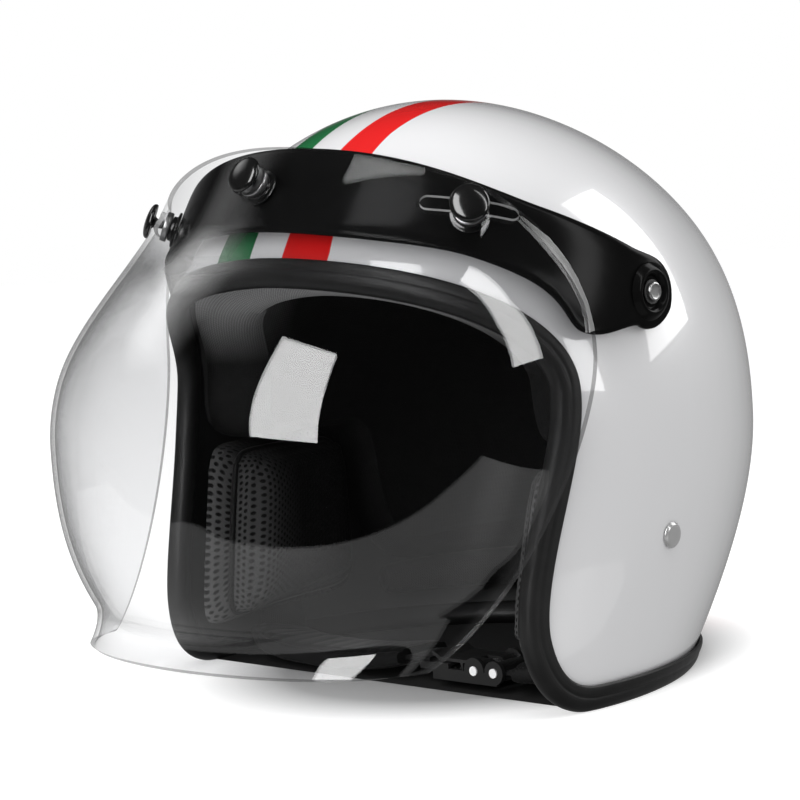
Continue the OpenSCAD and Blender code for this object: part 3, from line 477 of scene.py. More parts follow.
def bezier(p, t):
    """Cubic curve of four points: Bernstein weights of t times the points."""
    p, t = np.asarray(p, float), np.asarray(t, float)[..., None]
    return (1 - t) ** 3 * p[0] + 3 * (1 - t) ** 2 * t * p[1] + 3 * (1 - t) * t ** 2 * p[2] + t ** 3 * p[3]


def undo(f, goal):
    """Newton's steps back from a length to the ball's axis."""
    w = np.zeros_like(np.asarray(goal, float))
    for _ in range(10):
        w = w - (f(w) - goal) / f.deriv()(w)
    return w


def lean_of(w):
    return LEAN * (np.minimum(0.0, w) / REST) ** 2


def axes_at(yz):
    """The ball's second and third axes for places of the side view."""
    yz = np.asarray(yz, float)
    w = undo(z_of, yz[..., 1] - BELT)
    return undo(y_of, yz[..., 0] + lean_of(w)), w


REST = undo(z_of, np.array(-BELT))


def ball(yz):
    """Direction on the ball, on the +X side, for places of the side view."""
    u, w = axes_at(yz)
    return point(np.sqrt(np.maximum(0.0, 1 - u * u - w * w)), u, w)


def skin_normal(d):
    """Normal of the stretched ball: each axis divided by its stretch, the lean carried into z."""
    ny = d[..., 1] / y_of.deriv()(d[..., 1])
    dlean = 2 * LEAN * np.minimum(0.0, d[..., 2]) / REST ** 2
    dx = HALF * (1 + FULL * (1 - 3 * d[..., 0] ** 2))
    return unit(point(d[..., 0] / dx, ny, (d[..., 2] + dlean * ny) / z_of.deriv()(d[..., 2])))


def skin(d, off):
    """Point of the shell in a direction, moved off along the normal."""
    v, u, w = d[..., 0], d[..., 1], d[..., 2]
    on = point(HALF * v * (1 + FULL * (1 - v * v)), y_of(u) - lean_of(w), BELT + z_of(w))
    return on + np.asarray(off, float)[..., None] * skin_normal(d)


def arc(d, f):
    """Great arc from the pole to a direction, f of the way."""
    a = np.arccos(np.clip(d @ POLE, -1, 1))[..., None]
    f = np.asarray(f, float)[..., None]
    return (np.sin((1 - f) * a) * POLE + np.sin(f * a) * d) / np.sin(a)


def end_at(z, way):
    """Side view place of the shell's middle line at a height, in front (-1) or behind (1)."""
    w = undo(z_of, np.array(z - BELT))
    return np.array([y_of(way * np.sqrt(1 - w * w)) - lean_of(w), z])


def to_rear(start, n, power=2):
    """Level line of the side view from a start to the middle line behind, closer set at its end."""
    return mix(np.array(start), end_at(start[1], 1), (1 - (1 - np.linspace(0, 1, n)) ** power)[:, None])


def whole(half):
    """A closed ring from its +X half."""
    return join(half, half[-2:0:-1] * FLIP)


def steps(n, power=1.0):
    """n values from 0 up to but not 1, drawn to 0 by the power."""
    return np.linspace(0.0, 1.0, n, endpoint=False) ** power


print("crown", skin(np.array([0.0, 0.0, 1.0]), 0.0))

# %% [markdown]
# The shell's edge in the side view is a chain of curves: brow, temple, cheek corner, bottom line.
# Great arcs from a pole at the back of the crown to points of that edge cover the shell with a grid
# whose last row is the edge itself, so the opening is as smooth as the curve, with nothing cut.

# %% Outer shell
BROW_Z, TEMPLE, CHEEK, EDGE_Z, SHELL_WALL = 180.0, [-55.0, 130.0], [-73.0, 30.0], 3.3, 4.0
brow_end = end_at(BROW_Z, -1)
brow = [brow_end, brow_end + [2.0, -3.0], [-55.0, 158.0], TEMPLE]
face = [TEMPLE, [-55.0, 101.0], [-77.0, 54.0], CHEEK]
turn = [CHEEK, [-70.5, 15.0], [-63.0, EDGE_Z], [-43.0, EDGE_Z]]
front_side = [bezier(brow, steps(80, 2.0)), bezier(face, steps(60)), bezier(turn, steps(40))]
rim = whole(ball(join(*front_side, to_rear(turn[3], 70))))
edge = skin(rim, 0.0)
n_rim = len(rim)


def fall_lines(ring, shares):
    """Directions from the pole down to a rim, a row for each share of the way."""
    return arc(ring[None], np.repeat(np.asarray(shares)[:, None], len(ring), 1))


def bowl_ways(ring, rows):
    """Directions of a dome's rings, from near the pole down to its rim."""
    return fall_lines(ring, np.linspace(0.0, 1.0, rows + 1)[1:])


ROWS_OUT, ROWS_IN = 84, 30
shell_rings = [skin(bowl_ways(rim, ROWS_OUT), 0.0), skin(bowl_ways(rim, ROWS_IN), -SHELL_WALL)[::-1]]
shell_ends = skin(np.stack([POLE, POLE]), [0.0, -SHELL_WALL])
shell_points, shell_faces, shell_corner = capped(join(*shell_rings), shell_ends)
inside = shell_corner[:, 0, 0] >= ROWS_OUT - 1
put("helmet_shell", shell_points, shell_faces, [shell_paint, shell_inside], "helmet", "outer_shell",
    kinds=[inside, np.zeros(n_rim), np.ones(n_rim)], sharp=60.0)

# %% [markdown]
# The trim is one profile carried round the edge. Its section grips the shell's wall and ends in a
# round bead. Cutting the corners of the section twice turns the plain outline of the exact model
# into moulded rubber; a shallow groove between lip and bead catches the light as on the real one.

# %% Edge trim
def round_off(outline, times=2):
    """Corner cutting: each side is replaced by its points at a quarter and three quarters."""
    p = np.asarray(outline, float)
    for _ in range(times):
        q = np.roll(p, -1, axis=-2)
        p = np.stack([0.75 * p + 0.25 * q, 0.25 * p + 0.75 * q], -2).reshape(*p.shape[:-2], -1, p.shape[-1])
    return p


def edge_frame(line, normals):
    """Normal and outward direction along a closed line."""
    t = unit(np.roll(line, -1, 0) - np.roll(line, 1, 0))
    n = unit(normals - (normals * t).sum(-1, keepdims=True) * t)
    return n, np.cross(t, n)


grip = [[-7, 0.55], [0.55, 0.55], [0.55, -4.55], [-5.5, -4.95], [-5.4, -6.65]]
bead = [[0, -6.95], [2.97, -6.15], [4.5, -3.6], [4.5, -0.6], [3.4, 1.6], [1.2, 2.75], [-1.2, 2.9]]
lip = [[-2.4, 2.35], [-3.4, 2.7], [-6, 2.4], [-7, 1.75]]
section = round_off(grip + bead + lip)
rim_n, rim_b = edge_frame(edge, skin_normal(rim))
trim_points = edge[:, None] + section[None, :, :1] * rim_b[:, None] + section[None, :, 1:] * rim_n[:, None]
trim_points[..., 2] = np.maximum(trim_points[..., 2], 0.0)
trim_faces, trim_corner = cells(n_rim, len(section), round_rows=True)
trim_uv = flat_uv(trim_corner, arc_length(section, True), arc_length(edge, True))
put("edge_trim_bead", trim_points, [trim_faces], [trim_rubber], "helmet", "edge_trim",
    trim_uv, sharp=70.0)

# %% [markdown]
# Inside is a comfort lining: knitted cloth over thin foam, folded round the edge of the hard liner.
# It is the same bowl drawn deeper in, with a rolled fold at its rim. Two long seams divide it into
# a crown strip and two sides, and the cloth swells a little between them.

# %% Comfort lining
LINING_OFF, LINING_T, SEAM_X, SEAM_W, SEAM_LOW = 32.35, 8.0, 46.0, 2.6, 110.0
ear_front, ear_rear, nape, low_rear = [-34.0, 108.0], [26.0, 108.0], [46.0, 74.0], [70.0, 34.0]
foam_brow = [end_at(189.0, -1), [brow_end[0] + 8.0, 185.0], [-46.0, 160.0], [-46.0, 134.0]]
liner_rim = whole(ball(join(
    bezier(foam_brow, steps(60, 2.0)),
    bezier([foam_brow[3], [-46.0, 108.0], [-41.0, 108.0], ear_front], steps(20)),
    mix(np.array(ear_front), np.array(ear_rear), steps(16)[:, None]),
    bezier([ear_rear, [44.0, 108.0], [44.0, 92.0], nape], steps(20)),
    bezier([nape, [48.0, 52.0], [52.0, 34.0], low_rear], steps(16)),
    to_rear(low_rear, 40))))
n_lin = len(liner_rim)


def past(mm, off):
    """Places past the liner's rim, square to it, at a distance off the shell."""
    line = skin(liner_rim, off)
    return line + mm * edge_frame(line, skin_normal(liner_rim))[1]


lining_ways = bowl_ways(liner_rim, 56)
inner_off = -LINING_OFF - LINING_T
inner = skin(lining_ways, inner_off)
seam = np.exp(-((np.abs(inner[..., 0]) - SEAM_X) / SEAM_W) ** 2) * ease((inner[..., 2] - SEAM_LOW) / 30.0)
swell = 0.9 * np.cos(inner[..., 0] / SEAM_X * math.pi) * ease((inner[..., 2] - SEAM_LOW) / 40.0)
inner = inner + (1.8 * seam - swell)[..., None] * skin_normal(lining_ways)
fold = [[1.2, -LINING_OFF], [1.2, -8.25], [3.4, -9.25], [5.2, -17.25], [3.8, -35.55], [0.0, inner_off]]
folded = np.stack([past(mm, off) for mm, off in round_off(fold, 1)[1:-3]])
rings = join(skin(bowl_ways(liner_rim, 20), -LINING_OFF), folded, inner[::-1])
lining_ends = np.stack([skin(POLE, -LINING_OFF), inner[0].mean(0)])
lining_points, lining_faces, lining_corner = capped(rings, lining_ends)
lining_uv = flat_uv(lining_corner, arc_length(skin(liner_rim, -30.0), True), arc_length(rings[:, 0]), n_lin)
head_lining = put("head_lining", lining_points, lining_faces, [lining_knit], "helmet", "comfort_lining",
                  lining_uv)


# %% [markdown]
# A cheek pad is a block of foam in air mesh, crowned in the middle and drawn in at its sides, with
# a piped seam round its face. Its base follows the shell; its crown is a power of the distance from
# the borders. The walls bulge a little, because foam in a sewn cover does.

# %% Cheek pads
PAD_OFF, PAD_T, PAD_WALL, PAD_REAR, PAD_LOW, PAD_HIGH = 14.1, 32.0, 0.35, 34.0, 18.0, 101.0
PAD_INSET, PAD_SIZE, PIPE_R, PIPE_SIDES, PAD_COLS = 0.10, (92.0, 75.0), 1.5, 10, 180


def pad_place(p, q):
    """Side view place for shares p (front to back) and q (low to high) of the pad."""
    lead = mix(CHEEK[0], TEMPLE[0], 0.7 * q) + 0.5 - 2.0 * np.sin(np.pi * q)
    return point(mix(lead, PAD_REAR, p), mix(PAD_LOW, PAD_HIGH, q))


def pad_rise(p, q):
    """Height of the crown: root of two falling fifth powers, over the walls' share of the full rise."""
    fall = (1 - np.abs(2 * p - 1) ** 5) * (1 - np.abs(2 * q - 1) ** 5)
    return PAD_T * (PAD_WALL + (1 - PAD_WALL) * np.sqrt(fall))


def pad_loop(share):
    """Shares p and q once round the pad, corners rounded, drawn in to a share of the border."""
    c, s = circle(PAD_COLS).T
    k = (np.abs(c) ** 8 + np.abs(s) ** 8) ** (-1 / 8)
    return mix(0.5, 0.5 + 0.5 * k * c, share), mix(0.5, 0.5 + 0.5 * k * s, share)


def pad_layer(p, q, depth):
    return skin(ball(pad_place(p, q)), -PAD_OFF - depth)


def tube(line, radius, n):
    """Points of a round tube along a closed line."""
    t = unit(np.roll(line, -1, 0) - np.roll(line, 1, 0))
    e = unit(np.cross(t, np.array([0.31, 0.52, 0.79])))
    f = np.cross(t, e)
    c, s = circle(n).T[:, None, :, None]
    return line[:, None] + radius * (c * e[:, None] + s * f[:, None])


def cheek_pad(name, flip):
    """Rings from the middle of the base, out to the border, up the wall and in over the crown."""
    base, wall = np.linspace(0.02, 1.0, 10), np.linspace(0.0, 1.0, 9)[1:]
    crown = np.linspace(1.0, 0.02, 40)[1:]
    layers = [pad_layer(*pad_loop(share), 0.0) for share in base]
    for k in wall:
        share = 1.0 - PAD_INSET * k + 0.035 * math.sin(math.pi * k)
        layers.append(pad_layer(*pad_loop(share), PAD_WALL * PAD_T * k))
    for share in crown:
        dip = 1.6 * math.exp(-((share - 0.93) / 0.03) ** 2)
        p, q = pad_loop(share)
        inset_p, inset_q = mix(0.5, p, 1 - PAD_INSET), mix(0.5, q, 1 - PAD_INSET)
        layers.append(pad_layer(inset_p, inset_q, pad_rise(p, q) - dip))
    rings = np.stack(layers)
    points, groups, corner = capped(rings, rings[[0, -1]].mean(1))
    spread = join(base, 1 + 0.02 * np.arange(len(wall)), crown)
    j, i = corner[..., 0], corner[..., 1] % PAD_COLS
    uv = np.stack([share[j, i] * size for share, size in zip(pad_loop(spread[:, None]), PAD_SIZE)], -1)
    piping = tube(rings[len(base) + len(wall) - 1], PIPE_R, PIPE_SIDES)
    pipe_faces, pipe_corner = cells(PAD_COLS, PIPE_SIDES, start=len(points), round_rows=True)
    points = join(points, piping.reshape(-1, 3)) * flip
    kinds = [np.zeros(len(group)) for group in groups] + [np.ones(len(pipe_faces))]
    none = np.zeros((PAD_COLS, 3, 2))
    made = put("cheek_pad_" + name + "_cover", points, groups + [pipe_faces], [pad_mesh, strap_pad], "helmet",
               "cheek_pad_" + name, [uv, none, none, pipe_corner * 2.0], kinds, 60.0)


cheek_pad("left", 1.0)
cheek_pad("right", FLIP)

# %% [markdown]
# The neck roll is a stuffed tube along the rear of the bottom edge, thinner at its ends, with the
# small gathers that a stuffed tube gets where it bends.

# %% Neck roll
ROLL_START, ROLL_OFF, ROLL_R, ROLL_COLS, ROLL_GIRTH = [48.0, 19.7], 19.0, 10.0, 40, 1.57
half_roll = ball(to_rear(ROLL_START, 110, 1.6))
roll_line = skin(join(half_roll, half_roll[-2::-1] * FLIP), -ROLL_OFF)
share = np.linspace(0.0, 1.0, len(roll_line))
roll_run = arc_length(roll_line)
fat = ROLL_R * (0.45 + 0.55 * np.sin(np.pi * (0.08 + 0.84 * share)) ** 0.4)
fat = fat * ease((share + 0.012) / 0.03) ** 0.5 * ease((1.012 - share) / 0.03) ** 0.5
upright = np.array([0.0, 0.0, 1.0])
sideways = unit(np.cross(unit(np.gradient(roll_line, axis=0)), upright))
c, s = circle(ROLL_COLS).T[:, None]
gather = 1.0 + 0.018 * np.sin(roll_run[:, None] / 5.5 + 2.0 * s) * c ** 2
rings = c[..., None] * sideways[:, None] + 0.95 * s[..., None] * upright
rings = roll_line[:, None] + (fat[:, None] * gather)[..., None] * rings
roll_points, roll_faces, roll_corner = capped(rings, roll_line[[0, -1]])
roll_uv = flat_uv(roll_corner, ROLL_GIRTH * np.arange(ROLL_COLS + 1), roll_run, ROLL_COLS)
# The neck roll lies below the lining's lit heights, so its knit is painted near black: painted shade.
neck = put("neck_roll_cover", roll_points, roll_faces, [lining_knit], "helmet", "neck_roll",
           roll_uv)

# %% [markdown]
# The chin strap is flat webbing on a route: down inside the shell from the rivet, out from under
# the cheek, and across to the buckle. The route is a smooth curve through a few places, each with
# the direction of the strap's width there; a flat section with soft selvedges is carried along it.

# %% Chin strap and its pads
RIVET_Y, RIVET_Z = -1.5, 65.5
PIN = np.array([61.0, -32.0, 9.5])
WEB_HALF, WEB_EDGE, LOOP_IN, LOOP_OUT, LOOP_HALF = 11.0, 10.4, 2.35, 4.25, 10.7


def hang(z, off, forward):
    """Place of the strap on the inside of the shell, and its width direction along the shell."""
    y = RIVET_Y - forward
    here, a, b = skin(ball([[y, z], [y + 6, z], [y - 6, z]]), -off)
    return here, unit(a - b)


def route(places, s):
    """Smooth curve (each stretch a cubic through its neighbours) at shares s of the way."""
    p = np.asarray(places, float)
    n = len(p) - 1
    i = np.minimum(n - 1, np.floor(s * n).astype(int))
    t = (s * n - i)[:, None, None]
    a, b, c, d = p[np.maximum(i - 1, 0)], p[i], p[i + 1], p[np.minimum(i + 2, n)]
    bend, twist = 2 * a - 5 * b + 4 * c - d, 3 * b - a - 3 * c + d
    return 0.5 * (2 * b + (c - a) * t + bend * t ** 2 + twist * t ** 3)


def level(*places):
    """Places whose width runs along Y."""
    return [(np.array(p, float), np.array([0.0, 1.0, 0.0])) for p in places]


strap_top = [hang(43.5, 9.2, 0.0), hang(33.0, 9.2, 1.0), hang(24.0, 9.8, 3.0), hang(15.0, 13.5, 7.0)]
left_route = strap_top + level([92, -22, 11], [80, -29, 10], [70, -32, 9.5], [64.3, -32, 9.5])
right_route = [(p * FLIP, w * FLIP) for p, w in strap_top]
right_route += level([-90, -22, 10], [-72, -30, 7], [-42, -32, 6], [-14, -32, 7.4], [8, -32, 10.8])
right_route += level([17.5, -32, 11.4], [22.5, -32, 11.4])


def soft_strip(node, kind, places, shares, outline, finish, swell=1.0, extra=None):
    """A section (across, through) along part of a route, its ends closed flat; swell scales it through."""
    both = route(places, shares)
    line, wide = both[:, 0], both[:, 1]
    g = unit(np.gradient(line, axis=0))
    wide = unit(wide - (wide * g).sum(-1, keepdims=True) * g)
    through = (np.ones(len(line)) * swell)[:, None, None] * outline[None, :, 1:] * np.cross(g, wide)[:, None]
    rings = line[:, None] + outline[None, :, :1] * wide[:, None] + through
    points, groups, corner = capped(rings, rings[[0, -1]].mean(1))
    uvs = flat_uv(corner, arc_length(outline, True), arc_length(line), len(outline))
    if extra:
        groups.append(extra[1] + len(points))
        uvs.append(extra[2])
        points = join(points, extra[0])
    return put(node + kind, points, groups, [finish], "helmet", node, uvs, sharp=50.0)


web_top = [[WEB_HALF, 0.5]] + [[x, 1] for x in (WEB_EDGE, 5, 0, -5, -WEB_EDGE)] + [[-WEB_HALF, 0.5]]
web_outline = round_off(join(-np.array(web_top), web_top), 1)
loop_cut = [[LOOP_IN, w * LOOP_HALF] for w in (-1, 0, 1)] + [[LOOP_OUT, w * LOOP_HALF] for w in (1, 0, -1)]
loop_r, loop_y = round_off(loop_cut, 1).T
c, s = circle(48).T[..., None]
loop = PIN + point(loop_r * c, loop_y, loop_r * s)
loop_faces, loop_corner = cells(*loop.shape[:2], round_rows=True)
soft_strip("chin_strap_left", "_web", left_route, np.linspace(0, 1, 140), web_outline, webbing,
           extra=(loop.reshape(-1, 3), loop_faces, loop_corner * 1.5))
soft_strip("chin_strap_right", "_web", right_route, np.linspace(0, 1, 200), web_outline, webbing)

SLEEVE_HALF, SLEEVE_T, STITCH_X, STITCH_W, PLUMP = 16.0, 4.5, 12.6, 0.9, 0.3
c, s = circle(56).T
pad_x = SLEEVE_HALF * np.sign(c) * np.abs(c) ** 0.5
pad_y = SLEEVE_T * np.sign(s) * np.abs(s) ** 0.7
pad_y = pad_y * (1 - 0.30 * np.exp(-((np.abs(pad_x) - STITCH_X) / STITCH_W) ** 2))
sleeves = (("left", left_route, 0.52, 0.86, -1.0), ("right", right_route, 0.4, 0.8, 1.0))
for name, places, start, end, top in sleeves:
    w = np.linspace(0, 1, 90)
    swell = mix(0.7, 1.0, np.sin(np.pi * w) ** 0.5) * (1 - 0.06 * np.sin(w * 40.0) ** 8)
    plump = point(pad_x, pad_y + PLUMP * np.where(top * pad_y > 0, pad_y, 0.0))
    made = soft_strip("strap_pad_" + name, "_cover", places, mix(start, end, w), plump, strap_pad,
                      swell)


# %% [markdown]
# The shield band is one gloss black moulding from tab to tab. In the plane that rises from the
# flip axis its path is a superellipse; its height changes along the way, with a lobe below each
# arm and a fuller middle. Behind each pivot the section shrinks as a circle does, so the tab is round.

# %% Shield band
RISE, LEAN_F, BAND_P, TAB_R, BAND_T = math.radians(27.9), 2.0, 1.89, 14.7, 3.0
LOBE_AT, LOBE_TAIL, LOBE_DROP, MIDDLE_DROP, MIDDLE_RISE, ARM_THIN = 0.26, 0.115, 14.4, 4.5, 6.3, 1.7
BAND_LIP, BAND_OFF = 1.4, 13.0
ASIDE = np.array([1.0, 0.0, 0.0])
BAND_F = np.array([0.0, -math.cos(RISE), math.sin(RISE)])
BAND_N = np.array([0.0, math.sin(RISE), math.cos(RISE)])
PIVOT = np.array([0.0, -12.0, 166.0])
pivot_x = float(skin(ball(PIVOT[1:]), 0.0)[0])
TAB_IN = pivot_x + 5.7
TAB_OUT = TAB_IN + BAND_T
BAND_W = TAB_IN + BAND_T / 2


def reach_to(low, high):
    """Bisection for the distance along the band's plane at which the middle line leaves the shell."""
    for _ in range(40):
        m = (low + high) / 2
        u, w = axes_at((PIVOT + m * BAND_F)[1:])
        low, high = (low, m) if u * u + w * w > 1 else (m, high)
    return m


REACH = reach_to(20.0, 141.0) + BAND_OFF


def band_frame(a):
    """Middle point, outward and upward directions, and share of the reach, at an angle."""
    a = np.asarray(a, float)
    x = BAND_W * np.sign(np.sin(a)) * np.abs(np.sin(a)) ** (2 / BAND_P)
    f = REACH * np.abs(np.cos(a)) ** (2 / BAND_P)
    mid = PIVOT + x[..., None] * ASIDE + f[..., None] * BAND_F
    gx = np.sign(x) * (np.abs(x) / BAND_W) ** (BAND_P - 1) / BAND_W
    gf = (f / REACH) ** (BAND_P - 1) / REACH
    flat = unit(gx[..., None] * ASIDE + gf[..., None] * BAND_F)
    lean = np.radians(LEAN_F * np.cos(a))[..., None]
    out, up = np.cos(lean) * flat + np.sin(lean) * BAND_N, np.cos(lean) * BAND_N - np.sin(lean) * flat
    return mid, out, up, f / REACH


def band_heights(s):
    """Half heights below and above the path, by share of the reach."""
    rise = np.abs(np.sin(np.pi / 2 * np.minimum(s, LOBE_AT) / LOBE_AT)) ** 1.4
    lobe = np.where(s < LOBE_AT, rise, 1 / (1 + ((s - LOBE_AT) / LOBE_TAIL) ** 2))
    below = TAB_R + LOBE_DROP * lobe + MIDDLE_DROP * ease((s - 0.65) / 0.35)
    return below, TAB_R - ARM_THIN * ease(s / 0.15) + MIDDLE_RISE * ease((s - 0.5) / 0.5)


def lathe(profile, n=64):
    """A profile of (radius, height) turned about Z: points and faces."""
    r, z = np.asarray(profile, float).T[..., None]
    c, s = circle(n).T
    grid = point(r * c, r * s, z)
    return grid.reshape(-1, 3), cells(len(r), n)[0]


def aimed(points, at, normal):
    """Turns +Z onto a direction and moves to a place."""
    n = unit(np.asarray(normal, float))
    e = unit(np.cross([0.0, 0.0, 1.0], n))
    return np.asarray(at) + points @ np.stack([e, np.cross(n, e), n])


share = np.linspace(1.0, -1.0, 301)
angles = np.radians(90.0) * np.sign(share) * np.abs(share) ** 0.9
mid, out, up, reach_share = band_frame(angles)
below, above = band_heights(reach_share)
lip = BAND_LIP * np.cos(angles)
h = BAND_T / 2
corners = ((h + lip, -below), (h, 6 - below), (h, above - 1.2), (0.3 * h, above),
           (-h, above - 0.6), (-h, 6 - below), (lip - h, -below), (lip, -0.8 - below))
cut = round_off(np.stack([point(*corner) for corner in corners], 1), 2)
arms = mid[:, None] + cut[..., :1] * out[:, None] + cut[..., 1:] * up[:, None]


def tab(k, order):
    """Rings behind a pivot, the end section drawn in as a circle is."""
    d = np.sin(np.linspace(0.02, 0.998, 20) * math.pi / 2)
    tall = np.sqrt(1 - d ** 2)[:, None] * cut[k][None, :, 1]
    grow = mid[k] - (TAB_R * d)[:, None] * BAND_F
    return (grow[:, None] + cut[k][None, :, :1] * out[k] + tall[..., None] * up[k])[::order]


rings = join(tab(0, -1), arms, tab(-1, 1))
rows, cols = rings.shape[:2]
ring_ends = [np.arange(cols)[None, ::-1], (rows - 1) * cols + np.arange(cols)[None]]
groups, parts = [cells(rows, cols)[0]] + ring_ends, [rings.reshape(-1, 3)]
dish_profile = [[6.2, -0.4], [6.4, 0.3], [7.6, 1.9], [8.7, 2.15], [9.9, 1.8], [11.6, 0.35], [12.2, -0.4]]
dish, dish_faces = lathe(round_off(dish_profile, 2)[:-3])
for way in (ASIDE, -ASIDE):
    groups.append(dish_faces + sum(len(p) for p in parts))
    parts.append(aimed(dish, PIVOT + (TAB_OUT + 0.05) * way, way))
put("shield_band_moulding", join(*parts), groups, [band_plastic], "shield", "shield_band",
    sharp=45.0)
print("band reach", REACH, "half width", BAND_W)

# %% [markdown]
# The bubble is a sheet between two curves: the nose line in the middle plane and the edge at the
# side. Each row goes from edge to nose to edge as a quarter of an ellipse does, so the nose is
# full and the sides run back level. The hem turns out at the bottom. Two slots and a hole at the
# snaps are cut by a Boolean, after which their walls take the pale finish of a cut edge, a painted
# highlight.

# %% Bubble shield
HEM, NOSE_Y, NOSE_Z, SHEET_T, TOP_DRAW, SNAP_H = 27.0, 190.0, 108.0, 2.0, 0.37, 10.7
mid0, out0, up0, _ = band_frame(0.0)
nose_top = mid0 + SNAP_H * out0 + 14.0 * up0
nose, waist, widest = [0, -NOSE_Y, NOSE_Z], [0, -165.5, 39], [128.3, -51.4, 143.5]
nose_parts = ([nose_top, nose_top - 56.5 * up0, [0, -NOSE_Y, NOSE_Z + 46], nose],
              [nose, [0, -NOSE_Y, 73], [0, -182, 56], waist],
              [waist, [0, -162, 35], [0, -161, 33], [0, -168, HEM]])
edge_parts = ([[97.2, -69.4, 207.2], [116, -57.8, 191.2], [128.3, -51.4, 171], widest],
              [widest, [128.3, -51.4, 115.5], [113.8, -79.7, 49], [94, -119.5, 26]])


def chain(parts, stops, t):
    """A chain of cubic curves, one to each span between the stops."""
    out = np.zeros(np.shape(t) + (3,))
    for k, part in enumerate(parts):
        here = (t >= stops[k]) & ((t < stops[k + 1]) | (k == len(parts) - 1))
        out[here] = bezier(part, (t[here] - stops[k]) / (stops[k + 1] - stops[k]))
    return out


def bubble_at(t, a):
    """Quarter ellipses from the side edge (a = 90 degrees) to the nose line (a = 0), drawn in at the top."""
    e, n = chain(edge_parts, (0.0, 0.42, 1.0), t), chain(nose_parts, (0.0, 0.5, 0.85, 1.0), t)
    c = np.cos(a) * (1 - TOP_DRAW * (1 - ease(t / 0.4)) * np.sin(a) ** 2)
    return point(e[..., 0] * np.sin(a), mix(e[..., 1], n[..., 1], c), mix(e[..., 2], n[..., 2], c))


rows_t = join(np.linspace(0, 0.84, 91)[:-1], np.linspace(0.84, 1.0, 31))
T, A = np.meshgrid(rows_t, np.radians(np.linspace(90, -90, 181)), indexing="ij")
front_face = bubble_at(T, A)
step_t = bubble_at(np.minimum(T + 0.003, 1.0), A) - bubble_at(np.maximum(T - 0.003, 0.0), A)
step_a = bubble_at(T, A + 0.005) - bubble_at(T, A - 0.005)
back_face = front_face - SHEET_T * unit(np.cross(step_t, step_a))
outer_faces, _ = cells(*T.shape, round_cols=False)
number = np.arange(T.size).reshape(T.shape)
border = join(number[0], number[1:, -1], number[-1, -2::-1], number[-2:0:-1, 0])
wall = point(border, np.roll(border, -1), np.roll(border, -1) + T.size, border + T.size)
sheet_faces = [outer_faces, (outer_faces + T.size)[:, ::-1], wall]
bubble = put("shield_bubble_sheet", join(front_face, back_face), sheet_faces,
             [bubble_clear, painted_dark_border, painted_pale_slot_wall], "shield", "shield_bubble",
             kinds=[np.full(len(f), kind) for f, kind in zip(sheet_faces, (0, 0, 1))], sharp=50.0)

# %% [markdown]
# The cutters are a round bar for the middle snap and a stadium for each side snap, standing along
# the snap's own axis. Their walls get the pale edge finish, a painted highlight, because the
# Boolean carries it over.

# %% Slots in the bubble
SNAPS = np.radians([-45.0, 0.0, 45.0])
SLOT_HALF, SLOT_R, HOLE_R, CUT_FROM, CUT_TO = 16.6, 3.0, 2.2, 2.0, 34.0


def slopes(t, a):
    """Steps of the bubble along its rows and along its columns, per unit of t and a."""
    t, a = np.array(t), np.array(a)
    jt = (bubble_at(t + 0.002, a) - bubble_at(t - 0.002, a)) / 0.004
    return jt, (bubble_at(t, a + 0.003) - bubble_at(t, a - 0.003)) / 0.006


def snap_meet(angle):
    """Newton's steps for where a snap's axis meets the bubble: height, t, a."""
    mid, out, _, _ = band_frame(angle)
    g = np.array([SNAP_H, 0.08, angle * 1.3])
    for _ in range(12):
        miss = bubble_at(np.array(g[1]), np.array(g[2])) - mid - g[0] * out
        g = g - np.linalg.solve(np.stack([-out, *slopes(*g[1:])], 1), miss)
    return g


meets = [snap_meet(angle) for angle in SNAPS]


def cutter(name, outline, k):
    """A prism of the outline along a snap's axis, its length along the bubble's row there."""
    mid, out, _, _ = band_frame(SNAPS[k])
    n = len(outline)
    up = unit(np.cross(out, slopes(*meets[k][1:])[1]))
    flat = mid + outline[:, :1] * np.cross(up, out) + outline[:, 1:] * up
    points = join(flat + CUT_FROM * out, flat + CUT_TO * out)
    ends = [np.arange(n)[None, ::-1], n + np.arange(n)[None]]
    return put(name, points, [cells(2, n)[0]] + ends, [painted_pale_slot_wall], "shield")


slot_end = ring_of(np.linspace(-np.pi / 2, np.pi / 2, 16), SLOT_R) + [SLOT_HALF, 0.0]
slot = join(slot_end, -slot_end)
for k, shape in enumerate((slot, circle(56, HOLE_R), slot)):
    knife = cutter("snap_cut_%d" % k, shape, k)
    cut_mod = bubble.modifiers.new("cut", "BOOLEAN")
    cut_mod.operation, cut_mod.solver, cut_mod.object = "DIFFERENCE", "EXACT", knife
    cut_mod.material_mode = "TRANSFER"
    with bpy.context.temp_override(object=bubble, active_object=bubble):
        bpy.ops.object.modifier_apply(modifier="cut")
    bpy.data.objects.remove(knife)
bubble.data.set_sharp_from_angle(angle=math.radians(50.0))
print("bubble faces", len(bubble.data.polygons))

# %% [markdown]
# Small round parts are profiles turned on an axis: the studs, sockets and caps of the snaps, the
# pivot buttons and the strap rivets. Their corners are rounded by cutting, as a moulding's or a
# pressing's are, which is what makes the tiny highlights that tell the eye how big they are.

# %% Snaps, buttons and rivets
CAP_R, CAP_ROOM, PIN_R, STUD_R, NECK_R = 8.0, 0.4, 1.9, 8.0, 5.6


def soften(profile, times):
    """Open corner cutting that keeps the two ends of a profile."""
    p = np.asarray(profile, float)
    for _ in range(times):
        q = np.stack([0.75 * p[:-1] + 0.25 * p[1:], 0.25 * p[:-1] + 0.75 * p[1:]], 1).reshape(-1, 2)
        p = join(p[:1], q, p[-1:])
    return p


